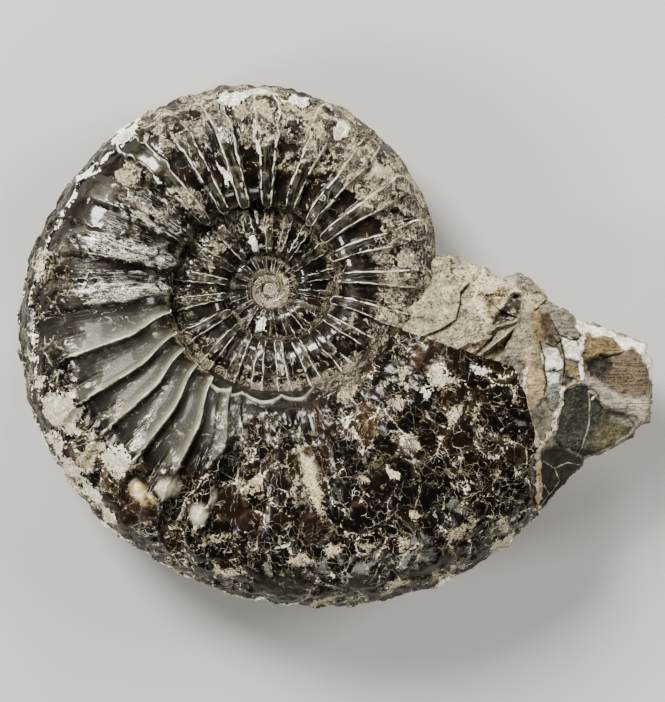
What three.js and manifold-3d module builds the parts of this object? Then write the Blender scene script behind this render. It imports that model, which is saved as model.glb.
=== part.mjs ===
// A fossil ammonite, lying on its side: one piece of stone, in millimetres, +Z up.
//
// The shell is a tube that coils in one plane. Its size follows the growth angle: 0 degrees is where
// the outer whorl crosses +X for the first time, the rim grows by one factor a turn, and the angle
// runs anticlockwise seen from above. Narrow ribs cross each flank. A wedge of mudstone fills the gap
// behind the broken mouth, and the last chambers stand out of it as a broken tongue of calcite.
// The underside is worn flat, so the coil's plane leans a little when the fossil lies down.

import * as THREE from "three";
import { ConvexGeometry } from "three/addons/geometries/ConvexGeometry.js";
import { mergeVertices } from "three/addons/utils/BufferGeometryUtils.js";
import Module from "manifold-3d";

// Driving dimensions.
const RIM_AT_ZERO = 23.1; // outer radius at growth angle 0
const GROWTH_PER_TURN = 2.31; // how many times larger the rim is one turn later
const HALF_WIDTH_SHARE = 0.277; // half the whorl's thickness, as a share of its outer radius
const WIDEST_AT = 0.42; // where the whorl is thickest, from the seam (0) to the rim (1)
const FIRST_ANGLE = -900; // growth angle at which the tube starts, over the first chamber
const MOUTH_ANGLE = 342; // growth angle at which the shell stops at the broken mouth
const SEAM_LAP = 0.5; // degrees by which one stretch of the tube runs into the next
const FIRST_CHAMBER = { radius: 2.7, halfHeight: 0.75 };

// The tube is made in stretches of half a turn or less, which are joined where they meet:
// the growth angle each stretch starts at, and the points in each of its rings.
const STRETCHES = [
  [-900, 8], [-720, 10], [-540, 10], [-360, 12], [-180, 14], [0, 18], [180, 18],
];

// Where each rib's crest lies, as a growth angle. Below the first of them they are evenly spaced.
const RIBS = [
  -347, -323, -302, -286, -270, -251, -230, -207, -188, -170, -149, -129, -113, -97, -81, -63, -45,
  -28, -11, 7.5, 25, 41.5, 58, 75, 91, 106, 119.5, 132.5, 149, 166, 182.5, 197, 210, 219.5, 230.5,
  241.5, 253, 264, 274, 283, 292, 301, 312, 323, 334,
];
const INNER_RIB_SPACING = 20;
const RIB_HEIGHT_SHARE = 0.075; // rib height, as a share of the half thickness
const CREST_SHARE = 0.2; // half the crest's width, as a share of the rib spacing
const FOOT_SHARE = 0.3; // half the foot's width, as a share of the rib spacing

// The worn underside: a plane below the coil's axis point. The coil is highest towards LEAN_TOWARDS.
const LEAN = THREE.MathUtils.degToRad(4.8);
const LEAN_TOWARDS = THREE.MathUtils.degToRad(310);
const WORN_DEPTH = 10.2;
const AXIS_AT = [-9.05, 8.14, WORN_DEPTH]; // puts the middle of the box's bottom on the origin

// The mouth is broken back along this line, as [x, y] from the coil's axis; what lies beyond it is gone.
const BREAK_LINE = [[36, -11], [37.4, -21.7], [36.8, -25.7], [37.5, -30.4], [40, -36]];

// Blocks of stone with flat fractures between them, each the hull of its corners as [x, y, z].
const BLOCKS = {
  mudstoneLeft: [
    [22.6, 4.4, 2.2], [25.4, 4.2, 2.6], [31.6, 1.3, 3.0], [33, -9, 8.4], [20, -6, 5.6], [18, -12, 8],
    [23, 4.2, -2.5], [31.4, 1.2, -3], [33, -10, -6], [19, -8, -5],
  ],
  mudstoneRight: [
    [30.6, 1.6, 2.9], [32.8, 1.1, 3.4], [34.4, 1.8, 3.6], [35.9, 1.5, 3.4], [37.7, -0.9, 3.8],
    [42.9, -4.8, 4.6], [42, -9, 6.2], [33, -11, 8.8], [31, 1.4, -3], [36, 1.2, -3], [42.6, -5, -4],
    [34, -12, -6],
  ],
  lastChamber: [
    [30, -10, 9.2], [38.9, -3.4, 5.4], [42.9, -4.9, 4.8], [41, -13, 5.6], [37.2, -22.3, 5.0], [29, -27, 9],
    [30, -10, -8], [42, -5.4, -4.5], [41, -13, -6], [37, -22.5, -7], [29, -27, -8],
  ],
  tongue: [
    [42.9, -4.8, 4.8], [47.8, -6.4, 4.1], [52.3, -7.9, 3.3], [53.4, -11, 2.9], [53.1, -15.5, 2.5],
    [52.3, -18.6, 1.9], [44.3, -13.2, 5.1], [41, -13, 5.8], [40, -5, -4.5], [51.6, -8.4, -2.5],
    [52.8, -11, -2.5], [52.6, -15.5, -2.5], [51.8, -18.4, -2], [41, -13, -5],
  ],
  oliveChamber: [
    [41, -13, 5.5], [44.3, -13.2, 5], [52.3, -18.6, 2], [50.2, -20.4, 1.4], [45.4, -23, 2],
    [43.4, -24.2, 2.4], [37.2, -22.3, 5.2], [41, -13, -5], [51.8, -18.4, -2], [49.8, -20.3, -2.4],
    [45, -22.8, -3.4], [37, -23, -6],
  ],
  lastShell: [
    [37.2, -22.2, 5], [43.8, -23.7, 2.6], [43, -24.9, 2], [40.7, -27.6, 1], [39.5, -28.9, 0.8],
    [36.2, -32, 0.6], [35.1, -33.8, 0.4], [32, -30, 6], [34, -24, 8], [43, -24.4, -3], [39.4, -28.6, -3],
    [35, -33.4, -3], [31, -24, -7],
  ],
};

// The finish of the dark calcite.
const STONE = { color: 0x2a241d, roughness: 0.42, metalness: 0 };

const wasm = await Module();
wasm.setup();

// The outer radius at a growth angle, in degrees. The rim is worn near 140 and swollen near 295.
function rimRadius(angle) {
  const worn = 0.047 * Math.exp(-(((angle - 140) / 45) ** 2));
  const swollen = 0.022 * Math.exp(-(((angle - 295) / 30) ** 2));
  return RIM_AT_ZERO * GROWTH_PER_TURN ** (angle / 360) * (1 - worn + swollen);
}

// The radius of the seam on the whorl inside it. The last half turn covers more of that whorl.
function seamRadius(angle) {
  const covered = THREE.MathUtils.smoothstep(angle, 130, 300);
  return (0.89 - 0.17 * covered) * rimRadius(angle - 360);
}

// A point of the whorl's section: at 0 degrees it is on the rim, at 90 on the upper flank.
// It is a superellipse, fuller towards the seam, whose flanks a rib lifts by the given share.
function sectionPoint(angle, around, rib) {
  const rim = rimRadius(angle);
  const seam = seamRadius(angle);
  const middle = seam + WIDEST_AT * (rim - seam);
  const outwards = Math.cos(around) >= 0;
  const fullness = outwards ? 2.2 : 3;
  const reach = outwards ? rim - middle : middle - seam;
  const across = Math.sign(Math.cos(around)) * Math.abs(Math.cos(around)) ** (2 / fullness);
  const up = Math.sign(Math.sin(around)) * Math.abs(Math.sin(around)) ** (2 / fullness);
  const lift = 1 + RIB_HEIGHT_SHARE * rib * Math.abs(up);
  return {
    radius: middle + reach * across * (outwards ? 1 + 0.3 * RIB_HEIGHT_SHARE * rib : 1),
    height: HALF_WIDTH_SHARE * rim * up * lift,
  };
}

// Every rib's crest from the first chamber to the mouth.
function ribAngles() {
  const found = [...RIBS];
  while (found[0] - INNER_RIB_SPACING > FIRST_ANGLE) found.unshift(found[0] - INNER_RIB_SPACING);
  return found;
}

// The columns of the tube: two at each rib's foot and two at its crest, or one of each where it is tiny.
function columns() {
  const ribs = ribAngles();
  const found = [];
  ribs.forEach((crest, i) => {
    const before = i > 0 ? crest - ribs[i - 1] : INNER_RIB_SPACING;
    const after = i + 1 < ribs.length ? ribs[i + 1] - crest : before;
    if (crest < RIBS[0]) {
      found.push({ angle: crest - before / 2, rib: 0 }, { angle: crest, rib: 1 });
      return;
    }
    found.push({ angle: crest - FOOT_SHARE * before, rib: 0 });
    found.push({ angle: crest - CREST_SHARE * before, rib: 1 });
    found.push({ angle: crest + CREST_SHARE * after, rib: 1 });
    found.push({ angle: crest + FOOT_SHARE * after, rib: 0 });
  });
  return found;
}

// One column's ring of points, in the coil's own frame.
function ring(column, count) {
  const turn = THREE.MathUtils.degToRad(column.angle);
  return Array.from({ length: count }, (_, j) => {
    const { radius, height } = sectionPoint(column.angle, (2 * Math.PI * j) / count, column.rib);
    return new THREE.Vector3(radius * Math.cos(turn), radius * Math.sin(turn), height);
  });
}

// A closed tube through rings of equal length, each end closed by a fan.
function tubeGeometry(rings) {
  const count = rings[0].length;
  const vertices = rings.flat();
  const faces = [];
  for (let i = 0; i + 1 < rings.length; i++)
    for (let j = 0; j < count; j++) {
      const a = i * count + j;
      const b = i * count + ((j + 1) % count);
      faces.push(a, a + count, b + count, a, b + count, b);
    }
  for (const [first, turned] of [[0, false], [(rings.length - 1) * count, true]]) {
    const centre = vertices.length;
    const end = vertices.slice(first, first + count);
    vertices.push(end.reduce((sum, p) => sum.add(p), new THREE.Vector3()).divideScalar(count));
    for (let j = 0; j < count; j++) {
      const a = first + j;
      const b = first + ((j + 1) % count);
      faces.push(centre, ...(turned ? [b, a] : [a, b]));
    }
  }
  return new THREE.BufferGeometry().setFromPoints(vertices).setIndex(faces);
}

// A three.js geometry as a manifold-3d solid.
function solid(geometry) {
  const bare = geometry.clone();
  bare.deleteAttribute("normal");
  bare.deleteAttribute("uv");
  const merged = mergeVertices(bare, 1e-4);
  return new wasm.Manifold(
    new wasm.Mesh({
      numProp: 3,
      vertProperties: merged.attributes.position.array,
      triVerts: new Uint32Array(merged.index.array),
    }),
  );
}

// A manifold-3d solid as a three.js geometry.
function geometryOf(made) {
  const mesh = made.getMesh();
  return new THREE.BufferGeometry()
    .setAttribute("position", new THREE.BufferAttribute(mesh.vertProperties, 3))
    .setIndex(new THREE.BufferAttribute(mesh.triVerts, 1));
}

// The coiled shell: its stretches joined where they meet and where each whorl laps the one inside it.
function coil() {
  const all = columns();
  const stretches = STRETCHES.map(([start, points], i) => {
    const end = i + 1 < STRETCHES.length ? STRETCHES[i + 1][0] : MOUTH_ANGLE;
    const between = all.filter((c) => c.angle > start + 1 && c.angle < end - 1);
    const stretch = [{ angle: start, rib: 0 }, ...between, { angle: end + SEAM_LAP, rib: 0 }];
    return solid(tubeGeometry(stretch.map((c) => ring(c, points))));
  });
  return stretches.reduce((joined, next) => joined.add(next));
}

// What the broken mouth has lost: everything beyond the break line, above and below.
function lostMouth() {
  const far = [[120, -36], [120, -11]];
  const shape = new THREE.Shape([...BREAK_LINE, ...far].map(([x, y]) => new THREE.Vector2(x, y)));
  const prism = new THREE.ExtrudeGeometry(shape, { depth: 60, bevelEnabled: false });
  prism.translate(0, 0, -30);
  return solid(prism);
}

// The domed first chamber that closes the middle of the coil.
function firstChamber() {
  const dome = new THREE.SphereGeometry(FIRST_CHAMBER.radius, 16, 8);
  dome.scale(1, 1, FIRST_CHAMBER.halfHeight / FIRST_CHAMBER.radius);
  return solid(dome);
}

// One block of stone from its corners.
function block(corners) {
  return solid(new ConvexGeometry(corners.map(([x, y, z]) => new THREE.Vector3(x, y, z))));
}

// Turns the coil's frame so that the worn plane is level.
function levelling() {
  const along = new THREE.Vector3(Math.cos(LEAN_TOWARDS), Math.sin(LEAN_TOWARDS), 0);
  const hinge = new THREE.Vector3(-along.y, along.x, 0);
  return new THREE.Matrix4().makeRotationAxis(hinge, -LEAN);
}

// Everything below the worn plane, in the levelled frame.
function ground() {
  const size = 200;
  const box = new THREE.BoxGeometry(size, size, size);
  box.translate(0, 0, -WORN_DEPTH - size / 2);
  return solid(box);
}

// The whole stone, lying on its worn underside.
function ammoniteGeometry() {
  const shell = coil().add(firstChamber()).subtract(lostMouth());
  const stone = Object.values(BLOCKS).reduce((joined, corners) => joined.add(block(corners)), shell);
  const level = solid(geometryOf(stone).applyMatrix4(levelling()));
  return geometryOf(level.subtract(ground())).translate(...AXIS_AT);
}

const ammonite = new THREE.Mesh(ammoniteGeometry(), new THREE.MeshStandardMaterial(STONE));
ammonite.name = "ammonite";

const group = new THREE.Group();
group.add(ammonite);

export default group;
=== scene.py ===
"""The looks of a fossil ammonite, one stone that lies on its worn side.

Its shell is a tube coiled in one plane and filled with dark calcite; mudstone is cemented behind its
broken mouth, and the last chambers stick out of it. Shapes are worked out in the coil's own frame, in
millimetres: the coil's axis point is the origin, the coil lies in the XY plane and growth angles run
anticlockwise. RestingPlace carries that frame into the part's frame, in metres.
"""

import logging
import math
from collections.abc import Sequence
from dataclasses import dataclass, field
from enum import Enum

import bpy
import numpy as np
from mathutils import Matrix, Vector


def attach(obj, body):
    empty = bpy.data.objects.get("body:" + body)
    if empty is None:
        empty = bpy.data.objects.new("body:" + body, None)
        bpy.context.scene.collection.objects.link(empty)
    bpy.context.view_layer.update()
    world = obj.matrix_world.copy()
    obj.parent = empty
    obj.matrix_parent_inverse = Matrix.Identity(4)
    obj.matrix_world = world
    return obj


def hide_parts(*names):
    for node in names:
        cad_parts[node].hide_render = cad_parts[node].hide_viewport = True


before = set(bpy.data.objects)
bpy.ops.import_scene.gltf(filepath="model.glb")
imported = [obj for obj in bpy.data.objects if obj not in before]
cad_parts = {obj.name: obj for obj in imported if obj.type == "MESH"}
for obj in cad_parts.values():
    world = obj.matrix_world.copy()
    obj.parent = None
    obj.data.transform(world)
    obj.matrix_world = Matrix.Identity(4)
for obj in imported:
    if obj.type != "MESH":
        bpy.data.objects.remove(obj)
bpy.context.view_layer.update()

LOG = logging.getLogger("ammonite")
MM = 0.001
CAD_NODE = "ammonite"
BODY = "root"

Array = np.ndarray
Triple = tuple[float, float, float]
Colour = Triple
Pair = tuple[float, float]
Path = tuple[Pair, ...]
Material = bpy.types.Material
Node = bpy.types.Node
Object = bpy.types.Object


# ---- Plain arithmetic on whole arrays ----


def smooth(low: float, high: float, value: Array) -> Array:
    """Goes from 0 at low to 1 at high along 3t^2 - 2t^3, t being the clipped share of the way."""
    t = np.clip((value - low) / (high - low), 0.0, 1.0)
    return t * t * (3.0 - 2.0 * t)


def bell(value: Array, middle: float, width: float) -> Array:
    """A hump of height 1: exp(-((value - middle) / width)^2)."""
    return np.exp(-(((value - middle) / width) ** 2))


def between(value: Array, low: float, high: float, soft: float) -> Array:
    """1 between low and high and 0 outside, with edges that are soft wide."""
    return smooth(low - soft, low + soft, value) * (1.0 - smooth(high - soft, high + soft, value))


def signed_power(value: Array, power: float) -> Array:
    """The sign of value times |value|^power."""
    return np.sign(value) * np.abs(value) ** power


def distance_to_stretch(x: Array, y: Array, start: Pair, end: Pair) -> Array:
    """The distance to one straight stretch: to its nearest point, at the clipped share of its length."""
    (ax, ay), (dx, dy) = start, (end[0] - start[0], end[1] - start[1])
    share = np.clip(((x - ax) * dx + (y - ay) * dy) / (dx * dx + dy * dy), 0.0, 1.0)
    return np.hypot(x - ax - share * dx, y - ay - share * dy)


def distance_to_path(x: Array, y: Array, path: Sequence[Pair]) -> Array:
    """The distance to a line of straight stretches: the least of the distances to each of them."""
    least = np.full(np.shape(x), np.inf)
    for start, end in zip(path[:-1], path[1:]):
        least = np.minimum(least, distance_to_stretch(x, y, start, end))
    return least


def side_of_path(x: Array, y: Array, path: Sequence[Pair]) -> Array:
    """On which side of a line of straight stretches each place is, and how far from it.

    Args:
        x, y: The places.
        path: The line's corners.

    Returns:
        The distance to the line, positive on the left of its nearest stretch.
    """
    least = np.full(np.shape(x), np.inf)
    signed = np.zeros(np.shape(x))
    for start, end in zip(path[:-1], path[1:]):
        away = distance_to_stretch(x, y, start, end)
        left = np.sign((end[0] - start[0]) * (y - start[1]) - (end[1] - start[1]) * (x - start[0]))
        signed = np.where(away < least, left * away, signed)
        least = np.minimum(least, away)
    return signed


def depth_inside(x: Array, y: Array, outline: Sequence[Pair]) -> Array:
    """How deep inside a closed outline each place is.

    Args:
        x, y: The places.
        outline: Its corners.

    Returns:
        The distance to it, positive inside, where a line to one side crosses it an odd number of times.
    """
    closed = (*outline, outline[0])
    inside = np.zeros(np.shape(x), dtype=bool)
    for (ax, ay), (bx, by) in zip(closed[:-1], closed[1:]):
        crosses = (ay > y) != (by > y)
        inside ^= crosses & (x < ax + (y - ay) * (bx - ax) / (by - ay if by != ay else 1.0))
    return np.where(inside, 1.0, -1.0) * distance_to_path(x, y, closed)


def stepped(value: Array, steps: float) -> Array:
    """Turns slopes into level steps: each step rises only over its last third."""
    low = np.floor(value * steps)
    return (low + smooth(0.66, 1.0, value * steps - low)) / steps


def flat(x: Array, y: Array, height: float = 0.0) -> Array:
    """The places at one height, with the three coordinates last."""
    return np.stack([x, y, np.zeros_like(x) + height], axis=-1)


@dataclass(frozen=True)
class Grain:
    """Random patterns in space that are the same on every run.

    Attributes:
        seed: Sets one pattern apart from another.
    """

    seed: int

    def chance(self, cell: Array, channel: int = 0) -> Array:
        """A random number for each whole-numbered cell, by multiplying and shifting its bits.

        Args:
            cell: The cells, with the three coordinates last.
            channel: Sets one number of a cell apart from another.

        Returns:
            Numbers from 0 to 1.
        """
        c = cell.astype(np.int64).astype(np.uint64)
        mask = np.uint64(0xFFFFFFFF)
        own = np.uint64((self.seed * 7919 + channel * 104729) & 0xFFFFFFFF)
        mixed = c[..., 0] * np.uint64(73856093) ^ c[..., 1] * np.uint64(19349663)
        mixed ^= c[..., 2] * np.uint64(83492791) ^ own
        for shift, factor in ((15, 2246822519), (13, 3266489917)):
            mixed &= mask
            mixed = (mixed ^ (mixed >> np.uint64(shift))) * np.uint64(factor)
        mixed &= mask
        return (mixed ^ (mixed >> np.uint64(16))) / float(0xFFFFFFFF)

    def waves(self, points: Array, size: float) -> Array:
        """Smooth noise from -1 to 1: random slopes at the corners of a lattice, blended between them.

        Args:
            points: Places, with the three coordinates last.
            size: The lattice's spacing.

        Returns:
            One value for each place.
        """
        scaled = points / size
        low = np.floor(scaled)
        part = scaled - low
        ease = part**3 * (part * (part * 6.0 - 15.0) + 10.0)
        total = np.zeros(points.shape[:-1])
        for corner in np.ndindex(2, 2, 2):
            at = low + np.array(corner)
            away = part - np.array(corner)
            slope = sum((2.0 * self.chance(at, k) - 1.0) * away[..., k] for k in range(3))
            share = np.prod(np.where(np.array(corner) == 1, ease, 1.0 - ease), axis=-1)
            total += slope * share
        return np.clip(total * 1.6, -1.0, 1.0)

    def rough(self, points: Array, size: float, layers: int = 3) -> Array:
        """Noise on noise: each layer has half the size and half the height of the one before."""
        total = sum(Grain(self.seed + 17 * k).waves(points, size / 2**k) / 2**k for k in range(layers))
        return total / (2.0 - 0.5 ** (layers - 1))

    def cells(self, points: Array, size: float) -> tuple[Array, Array]:
        """A crazing of space into polygons around scattered points.

        Args:
            points: Places, with the three coordinates last.
            size: The usual width of a polygon.

        Returns:
            The distance to the nearest border, about (second nearest - nearest) / 2, in the units of
            points, and a random number from 0 to 1 that every polygon has to itself.
        """
        scaled = points / size
        low = np.floor(scaled)
        first = np.full(points.shape[:-1], 9.0)
        second = first.copy()
        name = np.zeros(points.shape[:-1])
        for step in np.ndindex(3, 3, 3):
            at = low + (np.array(step) - 1)
            centre = at + np.stack([self.chance(at, k) for k in range(3)], axis=-1)
            away = np.linalg.norm(scaled - centre, axis=-1)
            nearer = away < first
            second = np.where(nearer, first, np.minimum(second, away))
            name = np.where(nearer, self.chance(at, 5), name)
            first = np.where(nearer, away, first)
        return (second - first) * 0.5 * size, name


# ---- The coil ----


@dataclass(frozen=True)
class RestingPlace:
    """Where the coil lies in the part's frame.

    Attributes:
        lean: How far the coil leans out of level, in degrees.
        towards: The direction in which the coil is highest, in degrees.
        axis_at: Where the coil's axis point stands, in millimetres.
    """

    lean: float = 4.8
    towards: float = 310.0
    axis_at: Triple = (-9.05, 8.14, 10.2)

    def turn(self) -> Matrix:
        """The turn from the coil's frame to the part's, about the level line across the lean."""
        along = math.radians(self.towards)
        hinge = Vector((-math.sin(along), math.cos(along), 0.0))
        return Matrix.Rotation(-math.radians(self.lean), 3, hinge)

    def place(self, points: Array) -> Array:
        """Carries points from the coil's frame in millimetres to the part's frame in metres."""
        turned = points @ np.array(self.turn()).T + np.array(self.axis_at)
        turned[..., 2] = np.maximum(turned[..., 2], 0.0)
        return turned * MM


@dataclass(frozen=True)
class Coil:
    """The tube's size, as a function of the growth angle in degrees.

    Attributes:
        rim_at_zero: The outer radius at growth angle 0, in millimetres.
        growth: How many times larger the rim is one turn later.
        half_width_share: Half the whorl's thickness, as a share of its outer radius.
        widest_at: Where the whorl is thickest, from the seam (0) to the rim (1).
    """

    rim_at_zero: float = 23.1
    growth: float = 2.31
    half_width_share: float = 0.277
    widest_at: float = 0.42

    def rim(self, angle: Array) -> Array:
        """The outer radius: rim_at_zero * growth^(angle / 360), worn near 140 and swollen near 295."""
        change = 1.0 - 0.047 * bell(angle, 140.0, 45.0) + 0.022 * bell(angle, 295.0, 30.0)
        return self.rim_at_zero * self.growth ** (angle / 360.0) * change

    def seam(self, angle: Array) -> Array:
        """The radius of the seam: a share of the rim one turn before, less on the last half turn."""
        return (0.89 - 0.17 * smooth(130.0, 300.0, angle)) * self.rim(angle - 360.0)

    def half_width(self, angle: Array) -> Array:
        """Half the whorl's thickness."""
        return self.half_width_share * self.rim(angle)

    def section(self, angle: Array, around: Array) -> tuple[Array, Array]:
        """A point of the whorl's section, a superellipse that is fuller on the seam's side.

        Args:
            angle: The growth angle.
            around: The section's own angle: 0 on the rim, a quarter turn on the upper flank.

        Returns:
            The point's radius, middle + reach * cos^(2/n), and its height, half width * sin^(2/n),
            with n = 2.2 towards the rim and 3 towards the seam.
        """
        rim, seam = self.rim(angle), self.seam(angle)
        middle = seam + self.widest_at * (rim - seam)
        outwards = np.cos(around) >= 0.0
        power = 2.0 / np.where(outwards, 2.2, 3.0)
        reach = np.where(outwards, rim - middle, middle - seam)
        radius = middle + reach * signed_power(np.cos(around), power)
        return radius, self.half_width(angle) * signed_power(np.sin(around), power)


@dataclass(frozen=True)
class Ribs:
    """The ribs that cross the flanks.

    Attributes:
        crests: The growth angle of each rib, from the last rib of the inner whorls to the mouth.
        inner_spacing: Degrees between ribs before the first of them.
        height_share: The height of a rib, as a share of the whorl's half width.
        top, foot: Half the width of a rib's flat top and of its foot, as shares of the spacing.
        first, last: Where a rib starts and ends, from 0 at the seam to 1 at the rim.
    """

    crests: tuple[float, ...] = (
        -347, -323, -302, -286, -270, -251, -230, -207, -188, -170, -149, -129, -113, -97, -81, -63,
        -45, -28, -11, 7.5, 25, 41.5, 58, 75, 91, 106, 119.5, 132.5, 149, 166, 182.5, 197, 210,
        219.5, 230.5, 241.5, 253, 264, 274, 283, 292, 301, 312, 323, 334, 346,
    )
    inner_spacing: float = 19.5
    height_share: float = 0.135
    top: float = 0.195
    foot: float = 0.275
    first: float = 0.075
    last: float = 0.84

    def number(self, angle: Array) -> Array:
        """How many ribs lie before an angle, counted evenly between one crest and the next."""
        crests = np.array(self.crests, dtype=float)
        before = (angle - crests[0]) / self.inner_spacing
        return np.where(angle < crests[0], before, np.interp(angle, crests, np.arange(len(crests))))

    def spacing(self, angle: Array) -> Array:
        """Degrees from one rib to the next, blended from gap to gap."""
        crests = np.array(self.crests, dtype=float)
        gaps = np.concatenate([[self.inner_spacing], np.diff(crests)])
        middles = np.concatenate([[crests[0] - 10.0], 0.5 * (crests[1:] + crests[:-1])])
        return np.interp(angle, middles, gaps)

    def lean(self, angle: Array, share: Array) -> Array:
        """How many degrees a rib's crest has moved where it is this share of the way to the rim.

        Args:
            angle: The growth angle.
            share: From 0 at the seam to 1 at the rim.

        Returns:
            Up to 3.5 degrees back on the first quarter turn of the outer whorl, back at the start of
            the ribs on its second half, and forwards towards the rim after that.
        """
        back = -3.5 * smooth(0.1, 0.65, share) * between(angle, -20.0, 85.0, 15.0)
        curl = -5.0 * (1.0 - smooth(0.06, 0.3, share)) * between(angle, 185.0, 262.0, 8.0)
        return back + curl + 2.5 * smooth(0.6, 1.0, share) * between(angle, 90.0, 400.0, 20.0)


@dataclass(frozen=True)
class Patch:
    """A wide part of the seen flank with a finish of its own.

    Attributes:
        start, end: The growth angles where it starts and ends.
        inner, outer: Its radii in millimetres.
        strength: How much of the patch shows, from 0 to 1.
        soft: The width of its edge in millimetres.
    """

    start: float
    end: float
    inner: float
    outer: float
    strength: float = 1.0
    soft: float = 1.0

    def mask(self, angle: Array, radius: Array) -> Array:
        """1 inside, falling to 0 across the edge, as the product of a band of angles and of radii."""
        turn = math.degrees(self.soft / (0.5 * (self.inner + self.outer)))
        inside = between(angle, self.start, self.end, turn)
        return self.strength * (inside * between(radius, self.inner, self.outer, self.soft))


@dataclass(frozen=True)
class Spot:
    """A small oval place with a finish of its own.

    Attributes:
        angle, radius: The growth angle and the radius of its middle.
        length, width: Its size in millimetres.
        turn: Degrees from the outward direction to its length, towards greater growth angles.
        strength: How much of it shows, from 0 to 1.
        heart: How far out it is whole, as a share of its size.
    """

    angle: float
    radius: float
    length: float
    width: float
    turn: float = 0.0
    strength: float = 1.0
    heart: float = 0.45

    def mask(self, angle: Array, radius: Array) -> Array:
        """1 in the middle, falling to 0 at 1.3 times the oval's size."""
        out, side = radius - self.radius, np.radians(angle - self.angle) * self.radius
        c, s = math.cos(math.radians(self.turn)), math.sin(math.radians(self.turn))
        far = np.hypot((out * c + side * s) / self.length, (side * c - out * s) / self.width) * 2.0
        return self.strength * (1.0 - smooth(self.heart, 1.3, far))


def painted(patches: Sequence[Patch | Spot], angle: Array, radius: Array) -> Array:
    """The strongest of several patches at each place."""
    return np.maximum.reduce([patch.mask(angle, radius) for patch in patches])


class Layer(Enum):
    """What a mesh carries besides its shape, for the finish to read at every vertex.

    TOP is the height of the ribs, EDGE the distance to where their flat tops end, along which the finish
    paints a pale line that is partly wear and partly painted highlight, SHOULDER the rim of the
    umbilical wall, which carries a painted highlight; CRUST, CREAM, OCHRE, GRIT and KEEL are pale
    stone on the shell; FIBRE, CRACKLE and SATIN are how the shell is kept; CORE is the first chamber,
    SHADE the painted shade and groove at the seam's foot, LOW the hidden flank; AMBER and MILK are
    bumps; BARE has no flakes; CRACK is the distance to the nearest border of the plates, TONE a
    plate's own tone, lowered as painted shade in the shaded parts and on the lower flank; ALONG and
    OUT are millimetres along and across the shell; LINED and TINT are the fine lines and the colour
    of a broken face.
    """

    TOP, EDGE, SHOULDER, CRUST, CREAM, OCHRE, FIBRE, CRACKLE, SATIN, GRIT, CORE, SHADE = range(12)
    LOW, AMBER, MILK, KEEL, BARE, CRACK, TONE, ALONG, OUT, LINED, TINT = range(12, 23)

    def attribute(self) -> str:
        """The name of the mesh's attribute."""
        return self.name.lower()


# ---- Meshes ----


def linked(name: str, data: bpy.types.ID) -> Object:
    """Makes an object of some data and links it to the scene."""
    made = bpy.data.objects.new(name, data)
    bpy.context.scene.collection.objects.link(made)
    return made


@dataclass
class Surface:
    """A closed skin: points in the coil's frame, faces by the points' numbers, and its layers."""

    points: Array
    faces: list[Array]
    layers: dict[Layer, Array] = field(default_factory=dict)

    def mesh(self, name: str, rest: RestingPlace, crease: float) -> Object:
        """Makes the mesh object.

        Args:
            name: The object's name.
            rest: Where the coil lies.
            crease: Edges that turn by more than this many degrees stay sharp.

        Returns:
            The object, at the origin and unturned, with each layer as a vertex attribute.
        """
        data = bpy.data.meshes.new(name)
        sizes = np.concatenate([np.full(len(f), f.shape[1]) for f in self.faces])
        corners = np.concatenate([f.ravel() for f in self.faces]).astype(np.int32)
        data.vertices.add(len(self.points))
        data.vertices.foreach_set("co", rest.place(self.points).astype(np.float32).ravel())
        data.loops.add(len(corners))
        data.loops.foreach_set("vertex_index", corners)
        data.polygons.add(len(sizes))
        starts = np.concatenate([[0], np.cumsum(sizes)[:-1]]).astype(np.int32)
        data.polygons.foreach_set("loop_start", starts)
        data.update(calc_edges=True)
        data.validate()
        data.shade_smooth()
        data.set_sharp_from_angle(angle=math.radians(crease))
        for layer, values in self.layers.items():
            kind, key = ("FLOAT", "value") if values.ndim == 1 else ("FLOAT_COLOR", "color")
            if values.ndim == 2:
                values = np.pad(values, ((0, 0), (0, 1)), constant_values=1.0)
            attribute = data.attributes.new(layer.attribute(), kind, "POINT")
            attribute.data.foreach_set(key, values.astype(np.float32).ravel())
        return linked(name, data)


def joined(first: Surface, second: Surface) -> Surface:
    """Two closed skins as one surface."""
    shifted = [faces + len(first.points) for faces in second.faces]
    layers = {k: np.concatenate([v, second.layers[k]]) for k, v in first.layers.items()}
    return Surface(np.concatenate([first.points, second.points]), first.faces + shifted, layers)


def tube_faces(columns: int, rows: int) -> list[Array]:
    """The faces of a closed tube with two end fans.

    Args:
        columns: Rings along the tube, point number = column * rows + row.
        rows: Points in a ring, listed anticlockwise seen against the tube's direction.

    Returns:
        The side's four-cornered faces, and the two fans to the two points after the last ring's.
    """
    i, j = np.meshgrid(np.arange(columns - 1), np.arange(rows), indexing="ij")
    a, b = i * rows + j, i * rows + (j + 1) % rows
    sides = np.stack([a, a + rows, b + rows, b], axis=-1).reshape(-1, 4)
    k = np.arange(rows)
    following = (k + 1) % rows
    last = (columns - 1) * rows
    near = np.stack([np.full(rows, columns * rows), k, following], axis=-1)
    far = np.stack([np.full(rows, columns * rows + 1), last + following, last + k], axis=-1)
    return [sides, np.concatenate([near, far])]


def outward_normals(points: Array) -> Array:
    """The normals of a grid that closes on itself along its second index.

    Args:
        points: A grid of places, columns by rows.

    Returns:
        At each place the unit vector across the slope along the column and along the row.
    """
    along = np.gradient(points, axis=0)
    across = np.roll(points, -1, axis=1) - np.roll(points, 1, axis=1)
    normal = np.cross(along, across)
    return normal / np.maximum(np.linalg.norm(normal, axis=-1, keepdims=True), 1e-12)


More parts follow.
